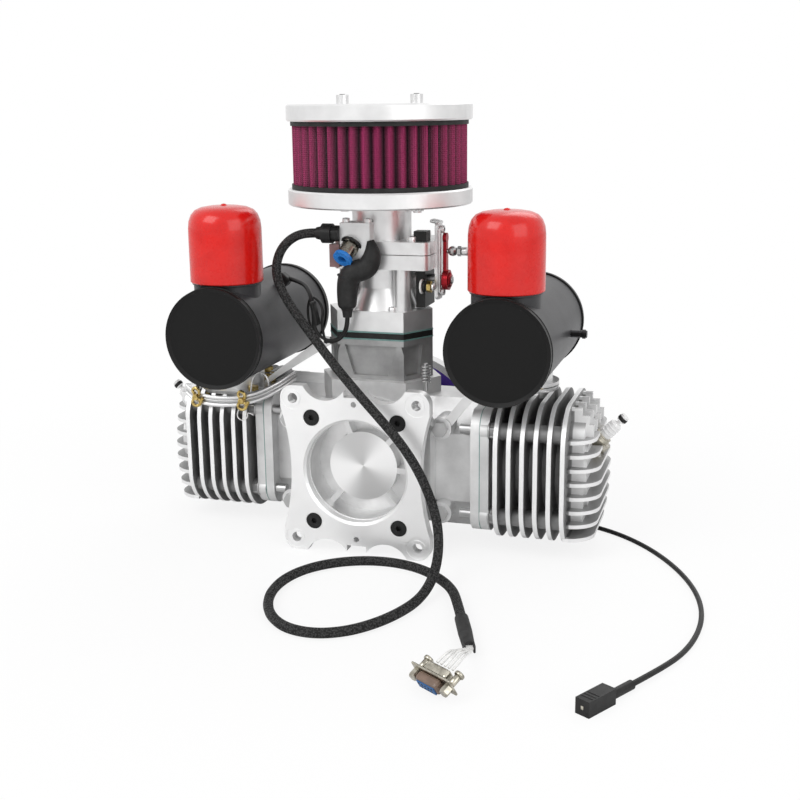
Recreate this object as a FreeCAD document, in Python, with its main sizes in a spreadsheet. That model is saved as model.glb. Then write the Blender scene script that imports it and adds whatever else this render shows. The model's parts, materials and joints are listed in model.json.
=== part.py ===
import FreeCAD, Part
import Sketcher
import math
import os
import re

# Horizontally opposed two-cylinder two-stroke aircraft engine, in millimetres.
# The crank axis is the Y axis. The mounting plate's rear face lies on y = 0 and faces -Y,
# the propeller hub is at the +Y end, the cylinders lie along X and the intake stands up +Z.

Vector = FreeCAD.Vector
os.makedirs("parts", exist_ok=True)
doc = FreeCAD.newDocument("FlatTwinEngine")
sheet = doc.addObject("Spreadsheet::Sheet", "Dims")

SIZES = {
    # engine layout
    "bore": 52, "stroke": 40, "rod_length": 80, "right_y": 62, "left_y": 80, "fit": 0.3, "gap": 0.05,
    # mounting plate
    "plate_hole_x": 88, "plate_hole_z": 100, "plate_hole_d": 7, "plate_lobe": 9, "plate_thick": 8,
    "plate_bore": 72, "plate_chamfer": 1.7, "plate_waist": 92.6, "side_arc": 142,
    "scallop_x": 21, "scallop_r": 17, "scallop_low": 49.5, "bump_top": 52.5, "bump_width": 14,
    "dowel_z": 48, "dowel_d": 4, "screw_x": 61.4, "screw_z": 74, "screw_d": 6, "screw_head": 11.3,
    "screw_length": 20, "lobe_ring": 16, "lobe_land": 11, "lobe_groove": 0.6,
    # rear housing behind the plate
    "cup_outer": 86, "cup_bore": 71, "cup_floor": 30, "boss_d": 49, "boss_face": 18, "rib_thick": 4,
    "screw_boss": 16, "ear_x_out": 55, "ear_z_out": 30, "ear_d": 15, "ear_thick": 10, "ear_bolt": 6,
    "housing_flange": 14,
    # crankcase
    "case_front": 112, "case_d": 94, "chamber_d": 78, "chamber_rear": 46, "chamber_front": 97,
    "nose_d": 52, "nose_end": 117, "deck_x": 82, "skirt_y": 64, "skirt_z": 92, "skirt_cut": 22,
    "pad_grow": 6, "pad_top": 57, "pad_base": 36, "deck_wide": 86, "deck_corner": 14, "deck_thick": 6,
    "passage_x": 30, "passage_y": 24, "stud_root": 14,
    # cylinders
    "base_flange": 6, "gasket": 0.6, "fin_first": 94.5, "fin_pitch": 9, "fin_count": 6, "fin_thick": 3,
    "fin_y": 100, "fin_z": 96, "fin_corner": 28, "barrel_d": 66, "spigot_d": 59, "spigot_in": 60,
    "dome_x": 124, "head_x": 141, "head_core": 153, "head_end": 162, "head_y": 80, "head_z": 92,
    "head_corner": 24, "head_fin_pitch": 9.7, "head_fins": 8, "head_fin_low": -42.4,
    "crest_thick": 3, "crest_pitch": 16, "crest_count": 4, "crest_low": 24, "crest_end": 156,
    "head_bow": 0.3, "stud_edge": 5, "stud_z": 30, "stud_d": 9,
    # crank train
    "web_d": 66, "pin_d": 18, "journal_d": 22, "web_thick": 7, "rod_wide": 10, "wrist_pin_d": 12,
    "piston_skirt": 24, "shaft_d": 25, "bearing_d": 44,
    # flywheel and propeller hub
    "wheel_d": 118, "wheel_rear": 119.5, "wheel_thick": 11, "wheel_rim": 5, "wheel_web": 4, "wheel_hub": 44,
    "wheel_slots": 8, "hub_d": 46, "hub_length": 22,
    "prop_pcd": 32, "prop_bolt": 6, "prop_bolts": 6, "centre_bolt": 10,
    # intake stack
    "intake_x": 0, "intake_y": 62, "hex_front": 48, "hex_side": 76, "hex_depth": 48, "housing_top": 85,
    "band_thick": 4, "seal_thick": 1, "carrier_top": 94.5, "adapter_top": 105,
    "throttle_x": 1.5, "throttle_y": 63, "throttle_bore": 32, "throttle_d": 41, "body_top": 153,
    "flange_low": 134, "flange_split": 144.5, "flange_x": 56, "flange_y": 50, "ear_x": 42, "shaft_z": 125,
    "throttle_shaft": 8, "lever_x": 46, "lever_thick": 2.5, "lever_long": 30, "lever_pivot": 20,
    "neck_rise": 24, "holder_x": -8, "holder_wide": 21.4, "holder_deep": 16, "holder_clear": 11, "boot_d": 12,
    "connector_up": 5.5, "connector_d": 13.4,
    # air filter
    "filter_x": 1.1, "filter_y": 62, "filter_plate": 11, "filter_d": 127,
    "element_d": 119.5, "element_z": 45, "pleats": 44, "pleat_depth": 5, "post_d": 8.6, "post_up": 6,
    "post_out": 26.5, "post_stem": 6, "post_nut": 9, "seal_ring": 3,
    # exhaust
    "muffler_x": 99, "muffler_z": 89, "muffler_d": 68.8, "muffler_front": -5, "muffler_length": 131,
    "muffler_wall": 1.2, "rim": 1.2, "outlet_y": 22, "outlet_d": 46, "outlet_up": 40,
    "cap_d": 50.5, "cap_base": 125.5, "cap_top": 177, "cap_wall": 2,
    "flange_wide": 57, "flange_deep": 42, "flange_left_x": 112.5, "flange_right_x": 96,
    "flange_plate": 2.5, "header_d": 28,
    "port_left_y": 61, "port_right_y": 81, "port_left_z": 33.5, "port_right_z": 48.2, "port_x": 106,
    "step_left": 5.5, "step_right": 3.2, "bolt_x": 18.5, "bolt_y": 14,
    # spark plugs
    "plug_thread": 10, "plug_hex": 16, "plug_ceramic": 9, "plug_x": 151, "plug_z": 13, "plug_tilt": 45,
    # loose cables
    "floor_z": -59, "cable_d": 6.4, "lead_d": 3.2, "sleeve_wall": 1.1, "harness_sleeve": 44,
    "lead_sleeve": 20, "wire_d": 1.6, "wire_pitch": 3.6, "shell_x": 111, "shell_y": -166,
    "lead_plug": 9, "lead_plug_long": 22,
}

# Sizes that follow from others.
DERIVED = {
    "stud_y": "deck_wide / 2 - stud_edge",
    "filter_base": "body_top + neck_rise",
    "intake_front": "throttle_y - flange_y / 2",
    "holder_side": "holder_x - holder_wide / 2",
}
SIZES.update({name: "=" + formula for name, formula in DERIVED.items()})

for row, (alias, value) in enumerate(SIZES.items(), start=1):
    sheet.set(f"A{row}", alias)
    sheet.set(f"B{row}", str(value))
    sheet.setAlias(f"B{row}", alias)
doc.recompute()


def size(name):
    """The value of one cell of the sheet."""
    return float(sheet.get(name))


def bind(text):
    """Write a formula on the sheet's aliases as a document expression."""
    return re.sub(r"[a-z]\w*", lambda m: "Dims." + m.group() if m.group() in SIZES else m.group(), str(text))


def tie(obj, prop, text):
    """Bind one property of an object to a formula."""
    obj.setExpression(prop, bind(text))


AIM = {
    "X": FreeCAD.Rotation(Vector(0, 1, 0), 90),
    "-X": FreeCAD.Rotation(Vector(0, 1, 0), -90),
    "Y": FreeCAD.Rotation(Vector(1, 0, 0), -90),
    "-Y": FreeCAD.Rotation(Vector(1, 0, 0), 90),
    "Z": FreeCAD.Rotation(),
    "-Z": FreeCAD.Rotation(Vector(1, 0, 0), 180),
}


def place(obj, at, axis="Z"):
    """Put an object's origin at a point given by three formulas, with its Z axis along axis."""
    turn = AIM[axis] if isinstance(axis, str) else axis
    obj.Placement = FreeCAD.Placement(Vector(), turn)
    for letter, text in zip("xyz", at):
        tie(obj, "Placement.Base." + letter, text)
    return obj


nodes = []


def label(obj, name):
    """Name a finished sub-part and keep it for export."""
    obj.Label = name
    nodes.append(obj)
    return obj


def rod(d, length, at=(0, 0, 0), axis="Z"):
    """A cylinder whose base centre is at a point."""
    obj = doc.addObject("Part::Cylinder", "Rod")
    tie(obj, "Radius", f"({d}) / 2")
    tie(obj, "Height", length)
    return place(obj, at, axis)


def cone(d1, d2, length, at=(0, 0, 0), axis="Z"):
    """A cone frustum whose base centre is at a point."""
    obj = doc.addObject("Part::Cone", "Cone")
    tie(obj, "Radius1", f"({d1}) / 2")
    tie(obj, "Radius2", f"({d2}) / 2")
    tie(obj, "Height", length)
    return place(obj, at, axis)


def ball(d, at):
    """A sphere about a point."""
    obj = doc.addObject("Part::Sphere", "Ball")
    tie(obj, "Radius", f"({d}) / 2")
    return place(obj, at)


def block(dx, dy, dz, at):
    """A box centred on a point in X and Y, with its underside at the point's Z."""
    obj = doc.addObject("Part::Box", "Block")
    tie(obj, "Length", dx)
    tie(obj, "Width", dy)
    tie(obj, "Height", dz)
    x, y, z = at
    return place(obj, (f"{x} - ({dx}) / 2", f"{y} - ({dy}) / 2", z))


def prism(sides, d, length, at, axis="Z"):
    """A regular prism, such as a hexagon head, measured across its corners."""
    obj = doc.addObject("Part::Prism", "Prism")
    obj.Polygon = sides
    tie(obj, "Circumradius", f"({d}) / 2")
    tie(obj, "Height", length)
    return place(obj, at, axis)


def fuse(*parts):
    """The union of several objects."""
    obj = doc.addObject("Part::MultiFuse", "Fuse")
    obj.Shapes = list(parts)
    obj.Refine = True
    return obj


def cut(base, *tools):
    """A base less one or more tools."""
    obj = doc.addObject("Part::Cut", "Cut")
    obj.Base = base
    obj.Tool = tools[0] if len(tools) == 1 else fuse(*tools)
    return obj


def group(*parts):
    """Several separate solids in one object."""
    obj = doc.addObject("Part::Compound", "Group")
    obj.Links = list(parts)
    return obj


def plane_of(body, role):
    """One of a body's own origin planes."""
    return [f for f in body.Origin.OriginFeatures if f.Role == role][0]


def value_of(text):
    """The present value of a formula."""
    return float(sheet.evalExpression(bind(text)))


def outline(body, role, points, offset="0"):
    """A closed sketch of straight edges whose corners are bound to formulas."""
    sketch = body.newObject("Sketcher::SketchObject", "Sketch")
    sketch.AttachmentSupport = [(plane_of(body, role), "")]
    sketch.MapMode = "FlatFace"
    tie(sketch, "AttachmentOffset.Base.z", offset)
    spots = [(value_of(u), value_of(v)) for u, v in points]
    count = len(spots)
    for i in range(count):
        start, end = spots[i], spots[(i + 1) % count]
        sketch.addGeometry(Part.LineSegment(Vector(*start, 0), Vector(*end, 0)), False)
    for i in range(count):
        sketch.addConstraint(Sketcher.Constraint("Coincident", i, 2, (i + 1) % count, 1))
    for i, (u, v) in enumerate(points):
        for kind, text, value in (("DistanceX", u, spots[i][0]), ("DistanceY", v, spots[i][1])):
            index = sketch.addConstraint(Sketcher.Constraint(kind, -1, 1, i, 1, value))
            tie(sketch, f"Constraints[{index}]", text)
    return sketch


def pad(points, role, length, offset="0", rounds=()):
    """A body padded from an outline. rounds lists (radius, chooser) for edges to fillet."""
    body = doc.addObject("PartDesign::Body", "Body")
    sketch = outline(body, role, points, offset)
    feature = body.newObject("PartDesign::Pad", "Pad")
    feature.Profile = sketch
    tie(feature, "Length", length)
    doc.recompute()
    for radius, chooser in rounds:
        edges = [f"Edge{n}" for n, edge in enumerate(feature.Shape.Edges, start=1) if chooser(edge)]
        fillet = body.newObject("PartDesign::Fillet", "Fillet")
        fillet.Base = (feature, edges)
        tie(fillet, "Radius", radius)
        doc.recompute()
        feature = fillet
    body.Tip = feature
    return body


def turned(points, role, axis, angle=360):
    """A body turned from an outline about one of its sketch's axes."""
    body = doc.addObject("PartDesign::Body", "Body")
    sketch = outline(body, role, points)
    feature = body.newObject("PartDesign::Revolution", "Revolution")
    feature.Profile = sketch
    feature.ReferenceAxis = (sketch, [axis])
    feature.Angle = angle
    body.Tip = feature
    return body


def turned_y(*points):
    """A body of revolution about Y from (radius, y) corners."""
    return turned(points, "XY_Plane", "V_Axis")


def turned_z(*points):
    """A body of revolution about Z from (radius, z) corners."""
    return turned(points, "XZ_Plane", "V_Axis")


def box_outline(half_u, half_v, u="0", v="0"):
    """The four corners of a rectangle about a point."""
    return [
        (f"{u} - ({half_u})", f"{v} - ({half_v})"),
        (f"{u} + ({half_u})", f"{v} - ({half_v})"),
        (f"{u} + ({half_u})", f"{v} + ({half_v})"),
        (f"{u} - ({half_u})", f"{v} + ({half_v})"),
    ]


def along(direction):
    """A chooser of the straight edges that run along a direction."""
    def choose(edge):
        return edge.Curve.TypeId == "Part::GeomLine" and abs(edge.Curve.Direction.dot(direction)) > 0.999
    return choose


ALONG_X = along(Vector(1, 0, 0))
ALONG_Y = along(Vector(0, 1, 0))
ALONG_Z = along(Vector(0, 0, 1))


def plate_y(points, y, thick, rounds=()):
    """A plate drawn in X and Z that runs from y towards +Y."""
    return pad(points, "XZ_Plane", thick, f"-({y}) - ({thick})", rounds)


def plate_x(points, x, thick, rounds=()):
    """A plate drawn in Y and Z that runs from x towards +X."""
    return pad(points, "YZ_Plane", thick, x, rounds)


def plate_z(points, z, thick, rounds=()):
    """A plate drawn in X and Y that runs from z towards +Z."""
    return pad(points, "XY_Plane", thick, z, rounds)


SIGNS = (-1, 1)
CORNERS = [(i, k) for i in SIGNS for k in SIGNS]


# ---- mounting plate and rear housing ----

def mount_plate():
    """The star-shaped plate: four lobes, bowed sides, scalloped ends and a chamfered bore."""
    half_x, half_z = "plate_hole_x / 2 + plate_lobe", "plate_hole_z / 2 + plate_lobe"
    slab = plate_y(box_outline(half_x, half_z), 0, "plate_thick", [("plate_lobe", ALONG_Y)])
    tools = [rod("plate_bore", "plate_thick", axis="Y")]
    tools.append(cone("plate_bore + 2 * plate_chamfer", "plate_bore", "plate_chamfer", axis="Y"))
    for i in SIGNS:
        side = f"{i} * (plate_waist / 2 + side_arc)"
        tools.append(rod("2 * side_arc", "plate_thick", (side, 0, 0), "Y"))
        bump = "bump_top" if i > 0 else "-bump_top - plate_lobe"
        tools.append(block("bump_width", "plate_thick", "plate_lobe", (0, "plate_thick / 2", bump)))
        tools.append(rod("dowel_d", "plate_thick", (0, 0, f"{i} * dowel_z"), "Y"))
    for i, k in CORNERS:
        arc = (f"{i} * scallop_x", 0, f"{k} * (scallop_low + scallop_r)")
        tools.append(rod("2 * scallop_r", "plate_thick", arc, "Y"))
        corner = (f"{i} * plate_hole_x / 2", 0, f"{k} * plate_hole_z / 2")
        tools.append(rod("plate_hole_d", "plate_thick", corner, "Y"))
        land = rod("lobe_land", "lobe_groove", corner, "Y")
        tools.append(cut(rod("lobe_ring", "lobe_groove", corner, "Y"), land))
        screw = (f"{i} * screw_x / 2", 0, f"{k} * screw_z / 2")
        tools.append(rod("screw_d + fit", "plate_thick", screw, "Y"))
        sink = "(screw_head - screw_d) / 2"
        tools.append(cone("screw_head + 2 * fit", "screw_d + 2 * fit", sink, screw, "Y"))
    return label(cut(slab, *tools), "mount_plate")


def mount_plate_screws():
    """Four countersunk socket screws."""
    screws = []
    for i, k in CORNERS:
        x, z = f"{i} * screw_x / 2", f"{k} * screw_z / 2"
        head = cone("screw_head", "screw_d", "(screw_head - screw_d) / 2", (x, 0, z), "Y")
        shank = rod("screw_d", "screw_length", (x, 0, z), "Y")
        socket = prism(6, "screw_d * 0.72", 2.5, (x, 0, z), "Y")
        screws.append(cut(fuse(head, shank), socket))
    return label(group(*screws), "mount_plate_screws")


RIB_ANGLES = (44, 112, 229, 309, 356)


def rear_housing():
    """The cup that carries the plate: a wall, a central turned boss and five ribs."""
    flange = box_outline("ear_x_out - 6", "ear_z_out + 10")
    flange = plate_y(flange, "cup_floor - housing_flange", "housing_flange", [("12", ALONG_Y)])
    wall = rod("cup_outer", "cup_floor - plate_thick", (0, "plate_thick", 0), "Y")
    tools = [rod("cup_bore", "cup_floor - plate_thick - 3", (0, "plate_thick", 0), "Y")]
    lugs = []
    for i, k in CORNERS:
        at = (f"{i} * screw_x / 2", "plate_thick", f"{k} * screw_z / 2")
        lugs.append(rod("screw_boss", "cup_floor - plate_thick", at, "Y"))
        tools.append(rod("screw_d + fit", "screw_length", at, "Y"))
        ear = (f"{i} * ear_x_out", "cup_floor - ear_thick", f"{k} * ear_z_out")
        lugs.append(rod("ear_d", "ear_thick", ear, "Y"))
        tools.append(rod("ear_bolt + fit", "ear_thick", ear, "Y"))
    shell = cut(fuse(flange, wall, *lugs), *tools)
    boss = rod("boss_d", "cup_floor - boss_face - 1", (0, "boss_face", 0), "Y")
    ribs = []
    for angle in RIB_ANGLES:
        rib = doc.addObject("Part::Box", "Rib")
        tie(rib, "Length", "(cup_bore - boss_d) / 2 + 1")
        tie(rib, "Width", "rib_thick")
        tie(rib, "Height", "cup_floor - boss_face - 1")
        turn = FreeCAD.Rotation(Vector(0, 1, 0), -angle) * AIM["Y"]
        middle = FreeCAD.Rotation(Vector(0, 1, 0), -angle).multVec(Vector(1, 0, 0))
        side = turn.multVec(Vector(0, 1, 0))
        inner = "(boss_d / 2 - 0.5)"
        at = (
            f"{middle.x:.9f} * {inner} - {side.x:.9f} * rib_thick / 2",
            "boss_face",
            f"{middle.z:.9f} * {inner} - {side.z:.9f} * rib_thick / 2",
        )
        ribs.append(place(rib, at, turn))
    return label(fuse(shell, boss, *ribs), "rear_housing")


def case_bolts():
    """Hexagon bolts that hold the rear housing to the crankcase."""
    bolts = []
    for i, k in CORNERS:
        x, z = f"{i} * ear_x_out", f"{k} * ear_z_out"
        head = prism(6, "ear_bolt + 5", 4, (x, "cup_floor - ear_thick - 4", z), "Y")
        shank = rod("ear_bolt", "2 * ear_thick", (x, "cup_floor - ear_thick", z), "Y")
        bolts.append(fuse(head, shank))
    return label(group(*bolts), "case_bolts")


# ---- crankcase ----

def octagon(half_y, half_z, cut_y, cut_z, y):
    """A rectangle in Y and Z with its corners cut off."""
    return [
        (f"{y} + {half_y} - {cut_y}", f"-({half_z})"),
        (f"{y} + {half_y}", f"-({half_z}) + {cut_z}"),
        (f"{y} + {half_y}", f"{half_z} - {cut_z}"),
        (f"{y} + {half_y} - {cut_y}", f"{half_z}"),
        (f"{y} - {half_y} + {cut_y}", f"{half_z}"),
        (f"{y} - {half_y}", f"{half_z} - {cut_z}"),
        (f"{y} - {half_y}", f"-({half_z}) + {cut_z}"),
        (f"{y} - {half_y} + {cut_y}", f"-({half_z})"),
    ]


def hexagon(grow="0"):
    """The six-sided plan of the intake stack, offset outwards by grow."""
    front, side, deep = f"hex_front / 2 + {grow} / 2", f"hex_side / 2 + {grow}", f"hex_depth / 2 + {grow}"
    x, y = "intake_x", "intake_y"
    return [
        (f"{x} - ({front})", f"{y} - ({deep})"),
        (f"{x} + ({front})", f"{y} - ({deep})"),
        (f"{x} + {side}", y),
        (f"{x} + ({front})", f"{y} + {deep}"),
        (f"{x} - ({front})", f"{y} + {deep}"),
        (f"{x} - ({side})", y),
    ]


BANKS = {"left": (-1, "left_y"), "right": (1, "right_y")}


def crankcase():
    """The round case with its nose, the two skirts with deck flanges and the intake pad."""
    body = turned_y(
        ("0", "cup_floor"), ("case_d / 2", "cup_floor"), ("case_d / 2", "case_front - 6"),
        ("case_d / 2 - 9", "case_front"), ("nose_d / 2", "case_front"), ("nose_d / 2", "nose_end"),
        ("0", "nose_end"),
    )
    adds = [body, plate_z(hexagon("pad_grow"), "pad_base", "pad_top - pad_base")]
    tools = [
        rod("chamber_d", "chamber_front - chamber_rear", (0, "chamber_rear", 0), "Y"),
        rod("bearing_d + 2 * gap", "case_front - chamber_front + 1", (0, "chamber_front - 1", 0), "Y"),
        rod("bearing_d - 4", "nose_end - case_front", (0, "case_front", 0), "Y"),
        rod("bearing_d - 8 + 2 * gap", "chamber_rear - cup_floor", (0, "cup_floor + 2", 0), "Y"),
        block("passage_x", "passage_y", "pad_top", ("intake_x", "intake_y", 0)),
    ]
    for side, y in BANKS.values():
        start = "0" if side > 0 else "-deck_x"
        skirt = octagon("skirt_y / 2", "skirt_z / 2", "16", "skirt_cut", y)
        adds.append(plate_x(skirt, start, "deck_x"))
        deck = box_outline("deck_wide / 2", "deck_wide / 2", y)
        low = f"{side} * (deck_x - deck_thick / 2) - deck_thick / 2"
        adds.append(plate_x(deck, low, "deck_thick", [("deck_corner", ALONG_X)]))
        axis = "X" if side > 0 else "-X"
        tools.append(rod("spigot_d + 2 * fit", "deck_x - 30", (f"{side} * 30", y, 0), axis))
        for i, k in CORNERS:
            stud = (f"{side} * (deck_x - stud_root)", f"{y} + {i} * stud_y", f"{k} * stud_z")
            tools.append(rod("stud_d - 2 + fit", "stud_root", stud, axis))
    for i, k in CORNERS:
        ear = (f"{i} * ear_x_out", "cup_floor", f"{k} * ear_z_out")
        adds.append(rod("ear_d", 22, ear, "Y"))
        tools.append(rod("ear_bolt + 0.4", "ear_thick + 2", ear, "Y"))
    return label(cut(fuse(*adds), *tools), "crankcase")


def base_gaskets():
    """A thin gasket under each cylinder."""
    rings = []
    for side, y in BANKS.values():
        start = "deck_x" if side > 0 else "-deck_x - gasket"
        form = box_outline("deck_wide / 2", "deck_wide / 2", y)
        sheet_form = plate_x(form, start, "gasket", [("deck_corner", ALONG_X)])
        axis = "X" if side > 0 else "-X"
        holes = [rod("spigot_d + 4 * fit", "gasket", (f"{side} * deck_x", y, 0), axis)]
        for i, k in CORNERS:
            at = (f"{side} * deck_x", f"{y} + {i} * stud_y", f"{k} * stud_z")
            holes.append(rod("stud_d", "gasket", at, axis))
        rings.append(cut(sheet_form, *holes))
    return label(group(*rings), "base_gaskets")


# ---- cylinders: the finned barrel and head are one casting ----

def fin_plates(side, y):
    """The upright fins round the barrel, each a rounded rectangle."""
    fins = []
    for n in range(int(size("fin_count"))):
        middle = f"(fin_first + {n} * fin_pitch)"
        start = f"{side} * {middle} - fin_thick / 2"
        form = box_outline("fin_y / 2", "fin_z / 2", y)
        fins.append(plate_x(form, start, "fin_thick", [("fin_corner", ALONG_X)]))
    return fins


def head_plates(side, y):
    """The level fins of the head, shorter towards the top and bottom to make a barrel outline."""
    fins = []
    count = int(size("head_fins"))
    for n in range(count):
        rise = n - (count - 1) / 2
        reach = f"(head_end - head_bow * {rise * rise:g})"
        points = [
            (f"{side} * (head_x - 2)", f"{y} - head_y / 2"),
            (f"{side} * {reach}", f"{y} - head_y / 2"),
            (f"{side} * {reach}", f"{y} + head_y / 2"),
            (f"{side} * (head_x - 2)", f"{y} + head_y / 2"),
        ]

        def outer(edge):
            return ALONG_Z(edge) and side * edge.Vertexes[0].X > size("head_x")
        thick = "fin_thick - 0.4"
        level = f"head_fin_low + {n} * head_fin_pitch - ({thick}) / 2"
        fins.append(plate_z(points, level, thick, [("head_corner - 6", outer)]))
    return fins


def crest_plates(side, y):
    """The upright stepped fins on top of the head, along the cylinder's axis."""
    plates = []
    count = int(size("crest_count"))
    for n in range(count):
        corners = [
            ("head_x - 2", "crest_low"), ("head_x - 2", "head_z / 2"), ("crest_end - 8", "head_z / 2"),
            ("crest_end - 8", "head_z / 2 - 5"), ("crest_end - 3", "head_z / 2 - 5"),
            ("crest_end - 3", "head_z / 2 - 11"), ("crest_end", "head_z / 2 - 11"),
            ("crest_end", "crest_low"),
        ]
        points = [(f"{side} * ({u})", v) for u, v in corners]
        middle = f"{y} + {n - (count - 1) / 2:g} * crest_pitch"
        plates.append(plate_y(points, f"{middle} - crest_thick / 2", "crest_thick"))
    return plates


def cylinder(name):
    """One cylinder: flange, spigot, barrel, fins, head and plug boss, bored and ported."""
    side, y = BANKS[name]
    axis = "X" if side > 0 else "-X"

    def x(text):
        return f"{side} * ({text})"
    face = "deck_x + gasket"
    low = face if side > 0 else f"-({face}) - base_flange"
    form = box_outline("deck_wide / 2", "deck_wide / 2", y)
    adds = [plate_x(form, low, "base_flange", [("deck_corner", ALONG_X)])]
    adds.append(rod("spigot_d", f"{face} - spigot_in", (x("spigot_in"), y, 0), axis))
    adds.append(rod("barrel_d", f"head_core - ({face})", (x(face), y, 0), axis))
    adds += fin_plates(side, y)
    adds += head_plates(side, y)
    adds += crest_plates(side, y)
    core = box_outline("head_y / 2 - 8", "head_z / 2 - 9", y)
    start = "head_x - 3" if side > 0 else "-head_core + 2"
    adds.append(plate_x(core, start, "head_core - head_x + 1", [("10", ALONG_X)]))
    for i, k in CORNERS:
        at = (x(face), f"{y} + {i} * stud_y", f"{k} * stud_z")
        adds.append(rod("stud_d + 3", f"head_x - ({face})", at, axis))
    tilt = FreeCAD.Rotation(Vector(0, 1, 0), side * size("plug_tilt"))
    seat = (x("plug_x - 14"), y, "plug_z - 14")
    adds.append(rod("plug_hex + 8", "17", seat, tilt))
    port_z = f"port_{name}_z"
    port = (x("port_x"), f"port_{name}_y")
    adds.append(rod("header_d + 8", f"{port_z} - 15", (*port, "15"), "Z"))
    tools = [rod("bore", "dome_x - spigot_in", (x("spigot_in"), y, 0), axis)]
    tools.append(cone("bore", "bore - 26", "7", (x("dome_x"), y, 0), axis))
    tools.append(rod("header_d - 6", f"{port_z}", (*port, "0"), "Z"))
    seat_at = (x(f"flange_{name}_x"), port[1], port_z)
    tools.append(stadium("flange_wide + 4", "flange_deep + 4", "20", seat_at))
    hole = (x("plug_x"), y, "plug_z")
    tools.append(rod("plug_thread + fit", "40", (x("plug_x - 26"), y, "plug_z - 26"), tilt))
    tools.append(rod("plug_hex + 5", "30", hole, tilt))
    for i, k in CORNERS:
        at = (x(face), f"{y} + {i} * stud_y", f"{k} * stud_z")
        tools.append(rod("stud_d - 2 + 2 * fit", "base_flange", at, axis))
    return label(cut(fuse(*adds), *tools), "cylinder_" + name)


def stadium(wide, deep, thick, at):
    """A plate with round ends, long along X."""
    x, y, z = at
    parts = [block(f"{wide} - ({deep})", deep, thick, at)]
    for i in SIGNS:
        parts.append(rod(deep, thick, (f"{x} + {i} * ({wide} - ({deep})) / 2", y, z)))
    return fuse(*parts)


def cylinder_studs():
    """The studs that hold the cylinders down, eight in all."""
    studs = []
    for side, y in BANKS.values():
        axis = "X" if side > 0 else "-X"
        for i, k in CORNERS:
            spot = (f"{y} + {i} * stud_y", f"{k} * stud_z")
            root = (f"{side} * (deck_x - stud_root)", *spot)
            studs.append(rod("stud_d - 2", "stud_root + gasket + base_flange", root, axis))
    return label(group(*studs), "cylinder_studs")


# ---- crank train ----

def pistons():
    """The two pistons at the outer end of their stroke, with ring grooves and hollow skirts."""
    parts = []
    for side, y in BANKS.values():
        axis = "X" if side > 0 else "-X"
        pin = "(stroke / 2 + rod_length)"
        low = f"({pin} - piston_skirt + 10)"
        shell = rod("bore - 2 * fit", "piston_skirt + 8", (f"{side} * {low}", y, 0), axis)
        tools = [rod("bore - 10", "piston_skirt + 2", (f"{side} * {low}", y, 0), axis)]
        tools.append(rod("wrist_pin_d + 2 * gap", "bore", (f"{side} * {pin}", f"{y} - bore / 2", 0), "Y"))
        for n in range(2):
            at = (f"{side} * ({low} + piston_skirt + {3.2 - 3.2 * n})", y, 0)
            groove = cut(rod("bore", "1.2", at, axis), rod("bore - 5", "1.2", at, axis))
            tools.append(groove)
        parts.append(cut(shell, *tools))
    return label(group(*parts), "pistons")


def wrist_pins():
    """The pins that join pistons and rods."""
    parts = []
    for side, y in BANKS.values():
        at = (f"{side} * (stroke / 2 + rod_length)", f"{y} - bore / 2 + 4", 0)
        pin = rod("wrist_pin_d", "bore - 8", at, "Y")
        parts.append(cut(pin, rod("wrist_pin_d - 5", "bore - 8", at, "Y")))
    return label(group(*parts), "wrist_pins")


def con_rods():
    """Forged rods: two eyes and a waisted I-section shank."""
    parts = []
    for side, y in BANKS.values():
        big, small = f"{side} * stroke / 2", f"{side} * (stroke / 2 + rod_length)"
        base = f"{y} - rod_wide / 2"
        eyes = [rod("pin_d + 10", "rod_wide", (big, base, 0), "Y")]
        eyes.append(rod("wrist_pin_d + 8", "rod_wide", (small, base, 0), "Y"))
        near, far = f"{big} + {side} * 10", f"{small} - {side} * 8"
        shank = plate_y([(near, "-7"), (far, "-5"), (far, "5"), (near, "7")], base, "rod_wide")
        web = "(rod_wide - 4) / 2"
        inner = [(f"{near} + {side} * 6", "-4"), (f"{far} - {side} * 4", "-2.5"),
                 (f"{far} - {side} * 4", "2.5"), (f"{near} + {side} * 6", "4")]
        tools = [rod("pin_d + 2 * gap", "rod_wide", (big, base, 0), "Y")]
        tools.append(rod("wrist_pin_d + 2 * gap", "rod_wide", (small, base, 0), "Y"))
        tools.append(plate_y(inner, base, web))
        tools.append(plate_y(inner, f"{base} + rod_wide - {web}", web))
        parts.append(cut(fuse(*eyes, shank), *tools))
    return label(group(*parts), "con_rods")


def crank_throws():
    """The built-up inner crank: three webs, two opposed pins and the rear journal."""
    left, right = "-stroke / 2", "stroke / 2"
    start = "right_y - rod_wide / 2 - 2 - web_thick"
    mid_low, mid_high = "right_y + rod_wide / 2 + 2", "left_y - rod_wide / 2 - 2"
    parts = [
        rod("web_d", "web_thick", (0, start, 0), "Y"),
        rod("web_d", f"{mid_high} - ({mid_low})", (0, mid_low, 0), "Y"),
        rod("web_d", "web_thick", (0, "left_y + rod_wide / 2 + 2", 0), "Y"),
        rod("pin_d", f"{mid_low} - ({start})", (right, start, 0), "Y"),
        rod("pin_d", f"left_y + rod_wide / 2 + 3 - ({mid_low})", (left, mid_low, 0), "Y"),
        rod("journal_d - 8", f"{start} - cup_floor - 2", (0, "cup_floor + 2", 0), "Y"),
        rod("shaft_d", "chamber_front - left_y - rod_wide / 2 - 9", (0, "left_y + rod_wide / 2 + 9", 0), "Y"),
    ]
    return label(fuse(*parts), "crank_throws")


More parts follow.
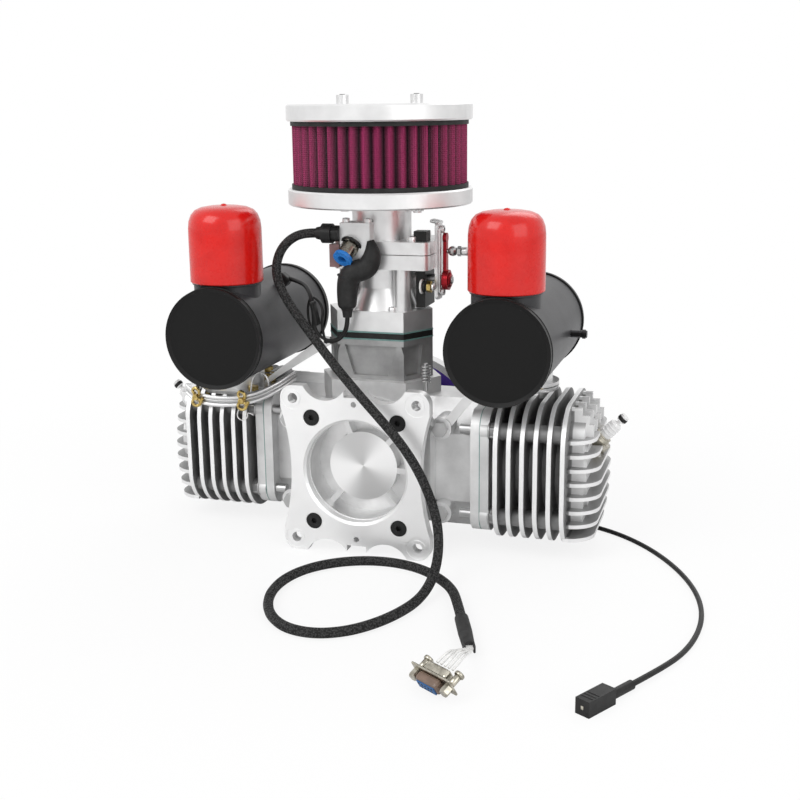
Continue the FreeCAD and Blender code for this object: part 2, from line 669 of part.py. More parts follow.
def bearing(outer, inner, wide, y, name):
    """A ball bearing: two races and a ring of balls between them."""
    race = f"({outer} - ({inner}))"
    shell = cut(rod(outer, wide, (0, y, 0), "Y"), rod(f"{outer} - {race} * 0.34", wide, (0, y, 0), "Y"))
    core = cut(rod(f"{inner} + {race} * 0.34", wide, (0, y, 0), "Y"), rod(inner, wide, (0, y, 0), "Y"))
    cage = cut(
        rod(f"{outer} - {race} * 0.34", f"{wide} - 3", (0, f"{y} + 1.5", 0), "Y"),
        rod(f"{inner} + {race} * 0.34", f"{wide} - 3", (0, f"{y} + 1.5", 0), "Y"),
    )
    return label(fuse(shell, core, cage), name)


def shaft_seal():
    """The lip seal in the crankcase nose."""
    wide = "nose_end - case_front"
    ring_form = rod("bearing_d - 4 - 2 * gap", wide, (0, "case_front", 0), "Y")
    return label(cut(ring_form, rod("shaft_d + 2 * gap", wide, (0, "case_front", 0), "Y")), "shaft_seal")


def crankshaft_front():
    """The output end of the crankshaft, with a drilled and tapped nose."""
    end = "wheel_rear + wheel_thick + hub_length"
    start = "chamber_front + 0.6"
    shaft = rod("shaft_d", f"{end} - ({start})", (0, start, 0), "Y")
    return label(cut(shaft, rod("centre_bolt", "24", (0, f"{end} - 24", 0), "Y")), "crankshaft_front")


def flywheel():
    """The spoked wheel behind the propeller hub."""
    y, thick = "wheel_rear", "wheel_thick"
    disc = turned_y(
        ("shaft_d / 2 + gap", y), ("wheel_hub / 2", y), ("wheel_hub / 2", f"{y} + 3"),
        ("wheel_d / 2 - wheel_rim", f"{y} + 3"), ("wheel_d / 2 - wheel_rim", y), ("wheel_d / 2", y),
        ("wheel_d / 2", f"{y} + {thick}"), ("wheel_d / 2 - wheel_rim", f"{y} + {thick}"),
        ("wheel_d / 2 - wheel_rim", f"{y} + 3 + wheel_web"), ("wheel_hub / 2", f"{y} + 3 + wheel_web"),
        ("wheel_hub / 2", f"{y} + {thick}"), ("shaft_d / 2 + gap", f"{y} + {thick}"),
    )
    slots = []
    count = int(size("wheel_slots"))
    for n in range(count):
        angle = 2 * math.pi * (n + 0.5) / count
        reach = "(wheel_d / 2 + wheel_hub / 2 - wheel_rim) / 2"
        at = (f"{math.cos(angle):.9f} * {reach}", f"{y} + 2", f"{math.sin(angle):.9f} * {reach}")
        slots.append(rod("(wheel_d - wheel_hub) / 2 - 2 * wheel_rim - 8", "wheel_web + 3", at, "Y"))
    return label(cut(disc, *slots), "flywheel")


def ring_of_bolts(count, pcd):
    """The centres of bolts on a circle, as factors of X and Z."""
    spots = []
    for n in range(count):
        angle = 2 * math.pi * n / count
        spots.append((f"{math.cos(angle):.9f} * {pcd} / 2", f"{math.sin(angle):.9f} * {pcd} / 2"))
    return spots


def prop_hub():
    """The propeller driver with tapped holes on a circle."""
    y = "wheel_rear + wheel_thick"
    body = turned_y(
        ("shaft_d / 2 + gap", y), ("wheel_hub / 2", y), ("hub_d / 2 - 5", f"{y} + 5"),
        ("hub_d / 2 - 5", f"{y} + hub_length - 7"), ("hub_d / 2", f"{y} + hub_length - 5"),
        ("hub_d / 2", f"{y} + hub_length"), ("shaft_d / 2 + gap", f"{y} + hub_length"),
    )
    holes = [
        rod("prop_bolt", 12, (x, f"{y} + hub_length - 12", z), "Y")
        for x, z in ring_of_bolts(int(size("prop_bolts")), "prop_pcd")
    ]
    return label(cut(body, *holes), "prop_hub")


def hub_bolt():
    """The centre bolt and its washer, which clamp the propeller hub onto the shaft."""
    face = "wheel_rear + wheel_thick + hub_length"
    washer = rod("24", "2", (0, face, 0), "Y")
    head = prism(6, "centre_bolt * 1.9", "6", (0, f"{face} + 2", 0), "Y")
    shank = rod("centre_bolt - 2 * gap", 20, (0, f"{face} - 20", 0), "Y")
    return label(fuse(washer, head, shank), "hub_bolt")


# ---- intake ----

def reed_housing():
    """The six-sided casting between the crankcase and the throttle, panelled on every face."""
    tall = "housing_top - pad_top"
    body = plate_z(hexagon(), "pad_top", tall)
    tools = [block("34", "30", tall, ("intake_x", "intake_y", "pad_top"))]
    panel = [("-12.5", "3"), ("12.5", "3"), ("19", f"{tall} - 4"), ("-19", f"{tall} - 4")]
    sides = [(0, 24, 1), (180, 24, 1)]
    sides += [(i * turn, 32.8, 0.5) for i in SIGNS for turn in (59.7, 120.3)]
    for turn, reach, narrow in sides:
        points = [(f"{narrow} * {u}", v) for u, v in panel]
        pocket = plate_y(points, f"-{reach} - 2", "5")
        spin = FreeCAD.Rotation(Vector(0, 0, 1), turn)
        tools.append(place(pocket, ("intake_x", "intake_y", "pad_top"), spin))
    return label(cut(body, *tools), "reed_housing")


def reed_cage():
    """The wedge-shaped reed cage, open on its two sloping faces."""
    y = "intake_y"
    top = "housing_top"
    wedge = [(f"{y} - 14", top), (f"{y} - 3", "pad_top + 5"), (f"{y} + 3", "pad_top + 5"), (f"{y} + 14", top)]
    body = plate_x(wedge, "intake_x - 15", "30")
    tip = "pad_top + 9"
    throat = [(f"{y} - 11", top), (f"{y} - 1.5", tip), (f"{y} + 1.5", tip), (f"{y} + 11", top)]
    tools = [plate_x(throat, "intake_x - 12", "24")]
    for i in SIGNS:
        tools.append(block("9", "30", "12", (f"intake_x + {i} * 6", y, "pad_top + 12")))
    return label(cut(body, *tools), "reed_cage")


def reed_petals():
    """The two spring-steel flaps that lie on the cage's sloping faces."""
    flaps = []
    for i in SIGNS:
        high, low = ("intake_y", 12.9, "housing_top - 2.3"), ("intake_y", 4.65, "pad_top + 8.45")
        flap = [(f"{y} + {i} * {reach}", z) for y, reach, z in (high, low)]
        flap += [(f"{y} + {i} * {reach + 0.54:g}", f"{z} - 0.26") for y, reach, z in (low, high)]
        flaps.append(plate_x(flap, "intake_x - 13", "26"))
    return label(group(*flaps), "reed_petals")


def band(z, thick, grow):
    """A flat six-sided ring of the intake stack, with the reed passage through it."""
    body = plate_z(hexagon(grow), z, thick)
    return cut(body, block("passage_x", "passage_y", thick, ("intake_x", "intake_y", z)))


def intake_gaskets():
    """Two thin gaskets, one on each face of the insulating band."""
    low = band("housing_top", "seal_thick", "0.4")
    high = band("housing_top + seal_thick + band_thick", "seal_thick", "0.4")
    return label(group(low, high), "intake_gaskets")


def adapter_plate():
    """The square-shouldered block that turns the six-sided passage into a round one."""
    body = plate_z(hexagon("0"), "carrier_top", "adapter_top - carrier_top")
    passage = rod("throttle_bore", "12", ("throttle_x", "throttle_y", "carrier_top"))
    return label(cut(body, passage), "adapter_plate")


def throttle_body():
    """The barrel with four bolt columns and a top flange that carries the linkage."""
    x, y = "throttle_x", "throttle_y"
    barrel = turned_z(
        ("throttle_bore / 2", "adapter_top"), ("throttle_d / 2 + 4", "adapter_top"),
        ("throttle_d / 2 + 2.5", "adapter_top + 4"), ("throttle_d / 2 - 1", "adapter_top + 15"),
        ("throttle_d / 2", "flange_low"), ("throttle_bore / 2", "flange_low"),
    )
    parts = [place(barrel, (x, y, 0)), flange_plate("flange_low", "flange_split - flange_low - 0.5")]
    for i, k in CORNERS:
        at = (f"{x} + {i} * 19.5", f"{y} + {k} * 17", "adapter_top")
        parts.append(rod(12, "flange_low - adapter_top", at))
    for i in SIGNS:
        boss = (f"{x} + {i} * throttle_d / 2 - {i} * 2", y, "shaft_z")
        parts.append(rod(15, 9, boss, "X" if i > 0 else "-X"))
    tools = [rod("throttle_bore", "flange_split - adapter_top", (x, y, "adapter_top"))]
    tools.append(rod("throttle_shaft + 2 * gap", 70, (f"{x} - 35", y, "shaft_z"), "X"))
    return label(cut(fuse(*parts), *tools), "throttle_body")


def flange_plate(z, thick):
    """One rounded flange of the throttle stack, with its ear towards the linkage."""
    half_y = "flange_y / 2"
    points = [
        ("throttle_x - flange_x / 2", f"throttle_y - {half_y}"),
        ("ear_x", f"throttle_y - {half_y}"),
        ("ear_x", f"throttle_y + {half_y}"),
        ("throttle_x - flange_x / 2", f"throttle_y + {half_y}"),
    ]
    return plate_z(points, z, thick, [("6", ALONG_Z)])


def intake_neck():
    """The neck between the throttle and the air filter."""
    x, y = "throttle_x", "throttle_y"
    neck = turned_z(
        ("throttle_bore / 2", "flange_split"), ("throttle_d / 2", "flange_split"),
        ("throttle_d / 2", "filter_base - 8"), ("throttle_d / 2 + 0.5", "filter_base"),
        ("throttle_bore / 2", "filter_base"),
    )
    plate = cut(
        flange_plate("flange_split", "body_top - flange_split"),
        rod("throttle_bore", "12", (x, y, "flange_split")),
    )
    return label(fuse(place(neck, (x, y, 0)), plate), "intake_neck")


def throttle_parts():
    """The turning parts of the throttle: shaft, plate, lever and the lever's ball stud."""
    x, y, z = "throttle_x", "throttle_y", "shaft_z"
    shaft = rod("throttle_shaft", "lever_x + 2 + 28", (-28, y, z), "X")
    slot = block("throttle_bore - 0.6", "throttle_shaft + 2", "1.6", (x, y, f"{z} - 0.8"))
    label(cut(shaft, slot), "throttle_shaft")
    label(rod("throttle_bore - 1", "1.4", (x, y, f"{z} - 0.7")), "throttle_butterfly")
    pivot, tip = f"{z} + lever_pivot", f"{z} + lever_long"
    arm = [(f"{y} - 3", z), (f"{y} + 3", z), (f"{y} + 2.2", tip), (f"{y} - 2.2", tip)]
    lever = fuse(
        rod(14, 4, ("lever_x", y, z), "X"),
        plate_x(arm, "lever_x", "lever_thick"),
        rod(7, "lever_thick", ("lever_x", y, f"{tip} - 1"), "X"),
    )
    eyes = [rod("throttle_shaft", 2, ("lever_x", y, z), "X"), rod(3, 4, ("lever_x - 1", y, pivot), "X")]
    label(cut(lever, *eyes), "throttle_lever")
    stud = fuse(
        rod(3, 11, ("lever_x", y, pivot), "X"),
        ball(7, ("lever_x + 6.5", y, pivot)),
        prism(6, 7, 2.4, ("lever_x + 10", y, pivot), "X"),
    )
    label(stud, "lever_ball_joint")


def linkage_bracket():
    """The upright sheet bracket beside the throttle, with its foot bolted to the flange ear."""
    x, y = "ear_x - 1", "throttle_y"
    low, high = "shaft_z - 13", "shaft_z + 40"
    form = [(f"{y} - 9", low), (f"{y} + 4", low), (f"{y} + 4", high), (f"{y} - 9", high)]
    plate = plate_x(form, f"{x} + 1", "2", [("3", ALONG_X)])
    hole = rod("throttle_shaft + 1", 6, (f"{x} - 1", y, "shaft_z"), "X")
    window = block("6", "6", "14", (f"{x} + 2", f"{y} - 3", "shaft_z + 15"))
    return label(cut(plate, hole, window), "linkage_bracket")


def throttle_sensor():
    """The position sensor round the throttle shaft, and its plug on top of the flange ear."""
    case = block("6.6", "24", "26.4", ("throttle_x + 31.1", "throttle_y", "shaft_z - 18"))
    case = cut(case, rod("throttle_shaft + fit", "8", ("throttle_x + 27.5", "throttle_y", "shaft_z"), "X"))
    plug = block("9", "10", "7", ("ear_x - 7.5", "throttle_y - 14", "body_top"))
    return label(group(case, plug), "throttle_sensor")


FUEL_AIM = Vector(-0.24, -0.74, -0.63).normalize()


def aimed(direction):
    """The turn that lays an object's Z axis along a direction."""
    return FreeCAD.Rotation(Vector(0, 0, 1), direction)


def shifted(at, direction, distance):
    """A point moved along a direction by a formula."""
    return tuple(f"{a} + ({c:.9f}) * ({distance})" for a, c in zip(at, direction))


FITTING_AT = ("holder_x - 2.7", "intake_front - 4.3", "body_top - 1.5")


def injector_holder():
    """The milled block that holds the fuel injector against the intake neck."""
    front, foot = "intake_front - 2 * gap", "body_top - 11"
    lower = block("holder_wide", "5.9", "24", ("holder_x", f"{front} - 2.95", foot))
    tall = "neck_rise - holder_clear - 4 * gap"
    upper = block("holder_wide", "holder_deep", tall, ("holder_x", f"{front} + 2.1", "body_top + 4 * gap"))
    seat = rod("12.4", "16", shifted(FITTING_AT, FUEL_AIM, "0"), aimed(FUEL_AIM))
    neck = rod("throttle_d + 2 * gap", "40", ("throttle_x", "throttle_y", "body_top - 5"))
    return label(cut(fuse(lower, upper), seat, neck), "injector_holder")


def fuel_fitting():
    """The push-in fuel fitting: hexagon, barrel and the bore for the hose."""
    turn = aimed(FUEL_AIM)
    hexagon_part = prism(6, "12", "4.5", FITTING_AT, turn)
    barrel = rod("11", "6.7", shifted(FITTING_AT, FUEL_AIM, "4.3"), turn)
    bore = rod("8.6", "4.4", shifted(FITTING_AT, FUEL_AIM, "6.6"), turn)
    return label(cut(fuse(hexagon_part, barrel), bore), "fuel_fitting")


def fitting_collar():
    """The release collar of the push-in fitting, which presses in by one millimetre."""
    turn = aimed(FUEL_AIM)
    sleeve = rod("8.4", "4.2", shifted(FITTING_AT, FUEL_AIM, "7.9"), turn)
    lip = rod("13.4", "2.6", shifted(FITTING_AT, FUEL_AIM, "12"), turn)
    bore = rod("6.1", "8", shifted(FITTING_AT, FUEL_AIM, "7.5"), turn)
    return label(cut(fuse(sleeve, lip), bore), "fitting_collar")


def sensor_boot():
    """The rubber boot of the injector plug: an elbow, a tapered body and its cable end."""
    x, y, low = "holder_x + 16.7", "intake_front - 6.4", "body_top - 23.5"
    drop = "25.5"
    top = f"{low} + {drop}"
    elbow = [rod("boot_d", drop, (x, y, low)), ball("boot_d", (x, y, top)), ball("boot_d", (x, y, low))]
    elbow.append(rod("boot_d - 2", "6", ("holder_side + holder_wide + gap", y, f"{top} + 1.5"), "X"))
    elbow.append(rod("boot_d - 1.5", "19", ("holder_x - 1.5", y, low), "X"))
    tail_x, tail_y = "holder_x - 6", "intake_front - 8.1"
    taper = cone("boot_d + 1", "boot_d + 3.8", "25", (tail_x, tail_y, f"{low} - 18.5"))
    nose = cone("boot_d - 4.6", "boot_d - 3.6", "8", (tail_x, tail_y, f"{low} - 26.1"))
    return label(fuse(*elbow, taper, nose), "sensor_boot")


def harness_connector():
    """The round cable connector on the injector block."""
    y, z = "intake_front - 4", "body_top + connector_up"
    barrel = rod("connector_d - 2.4", "8", ("holder_side", y, z), "-X")
    grip = rod("connector_d", "7", ("holder_side - 5.8", y, z), "-X")
    tail = cone("connector_d - 3", "connector_d - 5.4", "5.5", ("holder_side - 11.8", y, z), "-X")
    return label(fuse(barrel, grip, tail), "harness_connector")


def temperature_sensor():
    """The small moulded sensor beside the injector block."""
    wide, tall = "7", "15.4"
    top = "body_top + connector_up - connector_d / 2 - fit"
    at = (f"holder_side - {wide} / 2 - gap", "intake_front - 4", f"{top} - {tall}")
    return label(block(wide, "7.8", tall, at), "temperature_sensor")


# ---- air filter ----

def filter_disc(z, name, hole):
    """One end plate of the air filter with a softened rim."""
    x, y = "filter_x", "filter_y"
    disc = turned_z(
        (f"{hole} / 2", z), ("filter_d / 2 - 1", z), ("filter_d / 2", f"{z} + 1"),
        ("filter_d / 2", f"{z} + filter_plate - 1"), ("filter_d / 2 - 1", f"{z} + filter_plate"),
        (f"{hole} / 2", f"{z} + filter_plate"),
    )
    holes = []
    for i in SIGNS:
        holes.append(rod("post_stem + 0.4", "filter_plate", (f"{x} + {i} * post_out", y, z)))
    return label(cut(place(disc, (x, y, 0)), *holes), name)


def filter_element():
    """The pleated gauze ring, drawn as a star of folds."""
    count = 2 * int(size("pleats"))
    outer, deep = size("element_d") / 2, size("pleat_depth")
    corners = []
    for n in range(count):
        radius = outer - deep * (n % 2)
        angle = 2 * math.pi * n / count
        corners.append(Vector(radius * math.cos(angle), radius * math.sin(angle), 0))
    tall = size("element_z") - 2 * size("seal_ring")
    star = Part.Face(Part.makePolygon(corners + corners[:1])).extrude(Vector(0, 0, tall))
    core = Part.makeCylinder(outer - deep - 6, tall)
    obj = doc.addObject("Part::Feature", "Pleats")
    obj.Shape = star.cut(core)
    place(obj, ("filter_x", "filter_y", "filter_base + filter_plate + seal_ring"))
    return label(obj, "filter_element")


def filter_seals():
    """The moulded rubber rings that close the gauze at each end."""
    rings = []
    for z in ("filter_base + filter_plate", "filter_base + filter_plate + element_z - seal_ring"):
        at = ("filter_x", "filter_y", z)
        rings.append(cut(rod("element_d + 2", "seal_ring", at), rod("element_d - 26", "seal_ring", at)))
    return label(group(*rings), "filter_seals")


def filter_posts():
    """The two through posts of the filter with their round heads and hexagon nuts."""
    posts = []
    for i in SIGNS:
        at = (f"filter_x + {i} * post_out", "filter_y")
        top = "filter_base + 2 * filter_plate + element_z"
        stem = rod("post_stem", "2 * filter_plate + element_z + 6", (*at, "filter_base - 6"))
        head = rod("post_d", "post_up", (*at, top))
        nut = prism(6, "post_nut", "5", (*at, "filter_base - 5"))
        posts.append(fuse(stem, head, nut))
    return label(group(*posts), "filter_posts")


# ---- exhaust ----

def muffler(name):
    """A rolled can with rimmed ends and an upright outlet tube."""
    side = BANKS[name][0]
    x, z = f"{side} * muffler_x", "muffler_z"
    outer = "muffler_d / 2"
    can = turned_y(
        ("0", "0"), (f"{outer} - 2", "0"), (f"{outer} + rim - 0.5", "-1.5"), (f"{outer} + rim - 0.5", "3"),
        (outer, "4"),
        (outer, "muffler_length - 4"), (f"{outer} + rim - 0.5", "muffler_length - 3"),
        (f"{outer} + rim - 0.5", "muffler_length + 1.5"), (f"{outer} - 2", "muffler_length"),
        ("0", "muffler_length"),
    )
    place(can, (x, "muffler_front", z))
    outlet = rod("outlet_d", f"{outer} + outlet_up", (x, "outlet_y", z))
    nipple_x = f"{side} * (muffler_x + {outer} - 2)"
    nipple = rod("5", "13", (nipple_x, 74, z), "X" if side > 0 else "-X")
    bead = rod("6.4", "2", (f"{nipple_x} + {side} * 10", 74, z), "X" if side > 0 else "-X")
    body = fuse(can, outlet, nipple, bead)
    tools = [rod("outlet_d - 4", "outlet_up + 20", (x, "outlet_y", f"{z} + {outer} - 20"))]
    tools.append(rod("muffler_d - 2 * muffler_wall", "muffler_length - 4", (x, "muffler_front + 2", z), "Y"))
    port = (f"{side} * port_x", f"port_{name}_y", f"{z} - {outer}")
    tools.append(rod("header_d - 4", "muffler_d / 2", port, "Z"))
    return label(cut(body, *tools), "muffler_" + name)


def outlet_cap(name):
    """The soft domed dust cap over a muffler outlet, with a moulding nib on top."""
    side = BANKS[name][0]
    r = "cap_d / 2"
    inner = "(outlet_d / 2 + fit)"
    cap = turned_z(
        (inner, "cap_base"), (r, "cap_base"), (r, "cap_top - 12"), (f"{r} - 1.2", "cap_top - 6.5"),
        (f"{r} - 4.5", "cap_top - 2.6"), (f"{r} - 10", "cap_top - 0.6"), ("2", "cap_top"),
        ("1.6", "cap_top + 1.6"), ("0", "cap_top + 2"), ("0", "cap_top - cap_wall"),
        (f"{inner} - 8", "cap_top - 2.8"),
        (f"{inner} - 2", "cap_top - 6"), (inner, "cap_top - 12"),
    )
    return label(place(cap, (f"{side} * muffler_x", "outlet_y", 0)), "outlet_cap_" + name)


def exhaust_headers():
    """For each cylinder a port flange, a sprung pipe flange and the short pipe to the muffler."""
    pipes = []
    for name, (side, _) in BANKS.items():
        y, z, step = f"port_{name}_y", f"port_{name}_z", f"step_{name}"
        middle, pipe = f"{side} * flange_{name}_x", (f"{side} * port_x", y, z)
        parts = [
            stadium("flange_wide", "flange_deep", "flange_plate", (middle, y, z)),
            stadium("flange_wide", "flange_deep", "flange_plate", (middle, y, f"{z} + {step}")),
            rod("header_d", f"muffler_z - muffler_d / 2 + 8 - {z}", pipe),
        ]
        tools = [rod("header_d - 6", "60", pipe)]
        can = (f"{side} * muffler_x", "muffler_front", "muffler_z")
        tools.append(rod("muffler_d + 4 * gap", "muffler_length", can, "Y"))
        for i, k in CORNERS:
            tools.append(rod("4.4", "12", (f"{middle} + {i} * bolt_x", f"{y} + {k} * bolt_y", z)))
        pipes.append(cut(fuse(*parts), *tools))
    return label(group(*pipes), "exhaust_headers")


def flange_bolts():
    """Brass shoulder bolts that pull each pair of exhaust flanges together."""
    bolts = []
    for name, (side, _) in BANKS.items():
        top = f"port_{name}_z + step_{name} + flange_plate"
        for i, k in CORNERS:
            spot = (f"{side} * flange_{name}_x + {i} * bolt_x", f"port_{name}_y + {k} * bolt_y")
            shank = rod("4", f"step_{name} + flange_plate", (*spot, f"port_{name}_z"))
            if side < 0:
                shank = fuse(shank, prism(6, "8.4", "3.4", (*spot, top)))
            bolts.append(shank)
    return label(group(*bolts), "flange_bolts")


def muffler_struts():
    """The left stay from the intake casting to the exhaust flange and the right muffler's link."""
    left = plate_y([
        ("-37.5", "76"), ("-37.5", "81.5"), ("-43", "81.5"), ("-84", "51.5"), ("-90", "46"),
        ("-90", "port_left_z + step_left + flange_plate"), ("-86", "port_left_z + step_left + flange_plate"),
        ("-86", "45"), ("-80", "49.5"),
    ], "intake_y - 4", "3")
    link = plate_y([("55", "33"), ("60", "29"), ("83", "58"), ("78", "62")], "22", "3")
    ear = rod("ear_d + 2 * gap", "ear_thick", ("ear_x_out", "cup_floor - ear_thick", "ear_z_out"), "Y")
    can = rod("muffler_d + 4 * gap", "60", ("muffler_x", "0", "muffler_z"), "Y")
    return label(group(left, cut(link, ear, can)), "muffler_struts")


# ---- ignition ----

def spark_plugs():
    """Shells, insulators and terminals of the two spark plugs."""
    shells, insulators = [], []
    for side, y in BANKS.values():
        turn = FreeCAD.Rotation(Vector(0, 1, 0), side * size("plug_tilt"))
        aim = turn.multVec(Vector(0, 0, 1))
        seat = (f"{side} * plug_x", y, "plug_z")
        thread = rod("plug_thread", "12", shifted(seat, aim, "-12"), turn)
        collar = rod("plug_hex - 1", "2.5", shifted(seat, aim, "0"), turn)
        hexagon_part = prism(6, "plug_hex * 1.14", "7", shifted(seat, aim, "2.5"), turn)
        crimp = cone("plug_hex - 2.5", "plug_ceramic + 2", "3", shifted(seat, aim, "9.5"), turn)
        core = rod("plug_ceramic", "4", shifted(seat, aim, "8.5"), turn)
        shells.append(cut(fuse(thread, collar, hexagon_part, crimp), core))
        ceramic = rod("plug_ceramic", "15", shifted(seat, aim, "8.5"), turn)
        top = cone("plug_ceramic", "plug_ceramic - 3", "1.5", shifted(seat, aim, "23.5"), turn)
        stem = rod("3", "3", shifted(seat, aim, "25"), turn)
        knob = rod("6", "5", shifted(seat, aim, "27.5"), turn)
        insulators.append(fuse(ceramic, top, stem, knob))
    label(group(*shells), "spark_plug_shells")
    label(group(*insulators), "spark_plug_insulators")


def hall_sensor():
    """The ignition pick-up on the nose, looking at the flywheel's rim."""
    foot = block("16", "7", "12", ("36", "case_front + 3.6", "-44"))
    arm = plate_y([("19", "-27"), ("26", "-20"), ("43", "-36"), ("36", "-43")], "case_front", "2.5")
    return label(fuse(foot, arm), "hall_sensor")


# ---- loose cables ----

def tube_path(points):
    """Straight runs joined by tangent arcs through a list of corners, and the arc radii."""
    corners = [Vector(*p) for p in points]
    edges, radii = [], []
    start = corners[0]
    for before, corner, after in zip(corners, corners[1:], corners[2:]):
        inward, outward = (corner - before), (after - corner)
        shorter = min(inward.Length, outward.Length)
        inward.normalize()
        outward.normalize()
        half = inward.getAngle(outward) / 2
        trim = 0.45 * shorter
        radius = trim / math.tan(half)
        first, last = corner - inward * trim, corner + outward * trim
        inner = (outward - inward).normalize()
        middle = corner + inner * (radius / math.cos(half) - radius)
        edges.append(Part.LineSegment(start, first).toShape())
        edges.append(Part.Arc(first, middle, last).toShape())
        start = last
        radii.append(radius)
    edges.append(Part.LineSegment(start, corners[-1]).toShape())
    return Part.Wire(edges), radii


def tube(name, points, diameter):
    """A round cable swept along its route, with its volume checked against its length."""
    path, radii = tube_path(points)
    start = path.Edges[0]
    direction = start.tangentAt(start.FirstParameter)
    circle = Part.Circle(start.valueAt(start.FirstParameter), direction, diameter / 2)
    solid = path.makePipeShell([Part.Wire(circle.toShape())], True, False)
    wanted = math.pi * diameter ** 2 / 4 * path.Length
    print(f"{name}: length {path.Length:.0f} mm, volume ratio {solid.Volume / wanted:.4f}, "
          f"radii {min(radii):.1f} to {max(radii):.1f} mm")
    obj = doc.addObject("Part::Feature", "Cable")
    obj.Shape = solid
    return label(obj, name)


HARNESS_ROUTE = [
    (-36, 34, 158.5), (-43.2, 34, 158.5), (-52.3, 33.3, 156), (-59.8, 31.7, 149.8), (-64, 29.5, 141),
    (-64.2, 26.9, 131), (-60, 24, 121), (-51, 19.5, 109.8), (-38.5, 13.5, 97.5), (-24, 6.3, 84),
    (-9.5, -1, 71), (6, -7, 57.5), (21, -10.3, 43.5), (35, -11.5, 29), (47, -12.2, 12.5), (56, -13.6, -5),
    (62.5, -17.5, -20.5), (66.5, -26, -34), (68.5, -39, -44), (68.5, -54, -51), (66, -71, -55),
    (60.5, -90, -55.7), (51, -110, -55.7), (37.5, -126, -55.7), (20.5, -134, -55.7), (2, -131.5, -55.7),
    (-13, -119, -55.7), (-23.5, -101, -55.7), (-29, -80, -55.7), (-28, -58, -55.7), (-20, -39, -55.7),
    (-5, -24, -55.7), (14, -15.5, -55.7), (34.5, -14.5, -55.7), (54.5, -21.5, -55.7), (71, -35.5, -55.7),
    (82.5, -52, -54.6), (90.5, -71, -54.6), (98, -91, -54.6),
]
SENSOR_ROUTE = [
    (44, 114.5, -40), (49.5, 114.5, -40), (57, 114.5, -42.8), (65.5, 114, -48.2), (75, 113, -53.2),
    (86, 111.5, -56.6), (99, 109.5, -57.4), (119, 106, -57.4), (143, 99.5, -57.4), (167, 87, -57.4),
    (188, 68, -57.4), (206, 44, -57.4), (221, 16, -57.4), (231, -13, -57.4), (235.5, -42, -57.4),
    (234.5, -70, -57.4), (229, -97, -57.2), (219, -122, -56.1), (205, -146, -56.1),
]


def heading_of(route):
    """The level direction in which a cable leaves its last point."""
    return (Vector(*route[-1]) - Vector(*route[-2])).normalize()


def harness_plug():
    """The heat-shrink sleeve, five short wires and the shielded nine-way plug, lying on the ground."""
    heading, end = heading_of(HARNESS_ROUTE), Vector(*HARNESS_ROUTE[-1])
    sleeve_end = end + heading * size("harness_sleeve")
    across = heading.cross(Vector(0, 0, 1))
    parts = [rod("cable_d + 2 * sleeve_wall", "harness_sleeve", tuple(end), aimed(heading))]
    low = "floor_z + 0.1"
    parts.append(block("19", "9", "9", ("shell_x", "shell_y - 1.5", f"{low} + 1.7")))
    parts.append(block("31", "3", "12.4", ("shell_x", "shell_y - 7.5", low)))
    parts.append(block("17", "6", "8.4", ("shell_x", "shell_y - 11.5", f"{low} + 2")))
    for n in range(-2, 3):
        start = sleeve_end + across * (1.5 * -n) - heading * 2
        finish = Vector(size("shell_x") + n * size("wire_pitch"), size("shell_y") + 1, size("floor_z") + 6.3)
        run = finish - start
        parts.append(rod("wire_d", f"{run.Length:.6f}", tuple(start), aimed(run)))
    return label(fuse(*parts), "harness_plug")


def sensor_lead_plug():
    """The heat-shrink sleeve and the three-way plug of the ignition sensor's lead."""
    heading, end = heading_of(SENSOR_ROUTE), Vector(*SENSOR_ROUTE[-1])
    sleeve = rod("lead_d + 2 * sleeve_wall", "lead_sleeve", tuple(end), aimed(heading))
    bearing_angle = math.degrees(math.atan2(heading.y, heading.x))
    turn = FreeCAD.Rotation(Vector(0, 0, 1), bearing_angle) * AIM["X"]
    across = turn.multVec(Vector(1, 0, 0))
    up = turn.multVec(Vector(0, 1, 0))
    body = doc.addObject("Part::Box", "Plug")
    for prop, length in (("Length", "lead_plug"), ("Width", "lead_plug"), ("Height", "lead_plug_long")):
        tie(body, prop, length)
    half = size("lead_plug") / 2
    lift = Vector(0, 0, 1.7)
    corner = end + heading * (size("lead_sleeve") - 1) - across * half - up * half + lift
    return label(fuse(sleeve, place(body, tuple(corner), turn)), "sensor_lead_plug")


def cables():
    """The braided harness and the ignition sensor's lead."""
    tube("harness_cable", HARNESS_ROUTE, size("cable_d"))
    tube("sensor_lead", SENSOR_ROUTE, size("lead_d"))


for make in (
    mount_plate, mount_plate_screws, rear_housing, case_bolts, crankcase, base_gaskets, cylinder_studs,
    pistons, wrist_pins, con_rods, crank_throws, shaft_seal, crankshaft_front, flywheel, prop_hub,
    hub_bolt, reed_housing, reed_cage, reed_petals, intake_gaskets, adapter_plate, throttle_body,
    intake_neck, throttle_parts, linkage_bracket, throttle_sensor, injector_holder, fuel_fitting,
    fitting_collar, sensor_boot, harness_connector, temperature_sensor, filter_element, filter_seals,
    filter_posts, exhaust_headers, flange_bolts, muffler_struts, spark_plugs, hall_sensor, cables,
    harness_plug, sensor_lead_plug,
):
    make()
front, rear = "chamber_front + 1", "cup_floor + 2"
bearing("bearing_d", "shaft_d + 2 * gap", f"case_front - ({front})", front, "front_bearing")
bearing("bearing_d - 8", "journal_d - 8 + 2 * gap", f"chamber_rear - ({rear})", rear, "rear_bearing")
above_band = "housing_top + 2 * seal_thick + band_thick"
label(band("housing_top + seal_thick", "band_thick", "0.2"), "insulator_band")
label(band(above_band, f"carrier_top - ({above_band})", "0"), "carrier_plate")
filter_disc("filter_base", "filter_base_plate", "throttle_bore")
filter_disc("filter_base + filter_plate + element_z", "filter_top_plate", "0")
for bank in BANKS:
    cylinder(bank)
    muffler(bank)
    outlet_cap(bank)
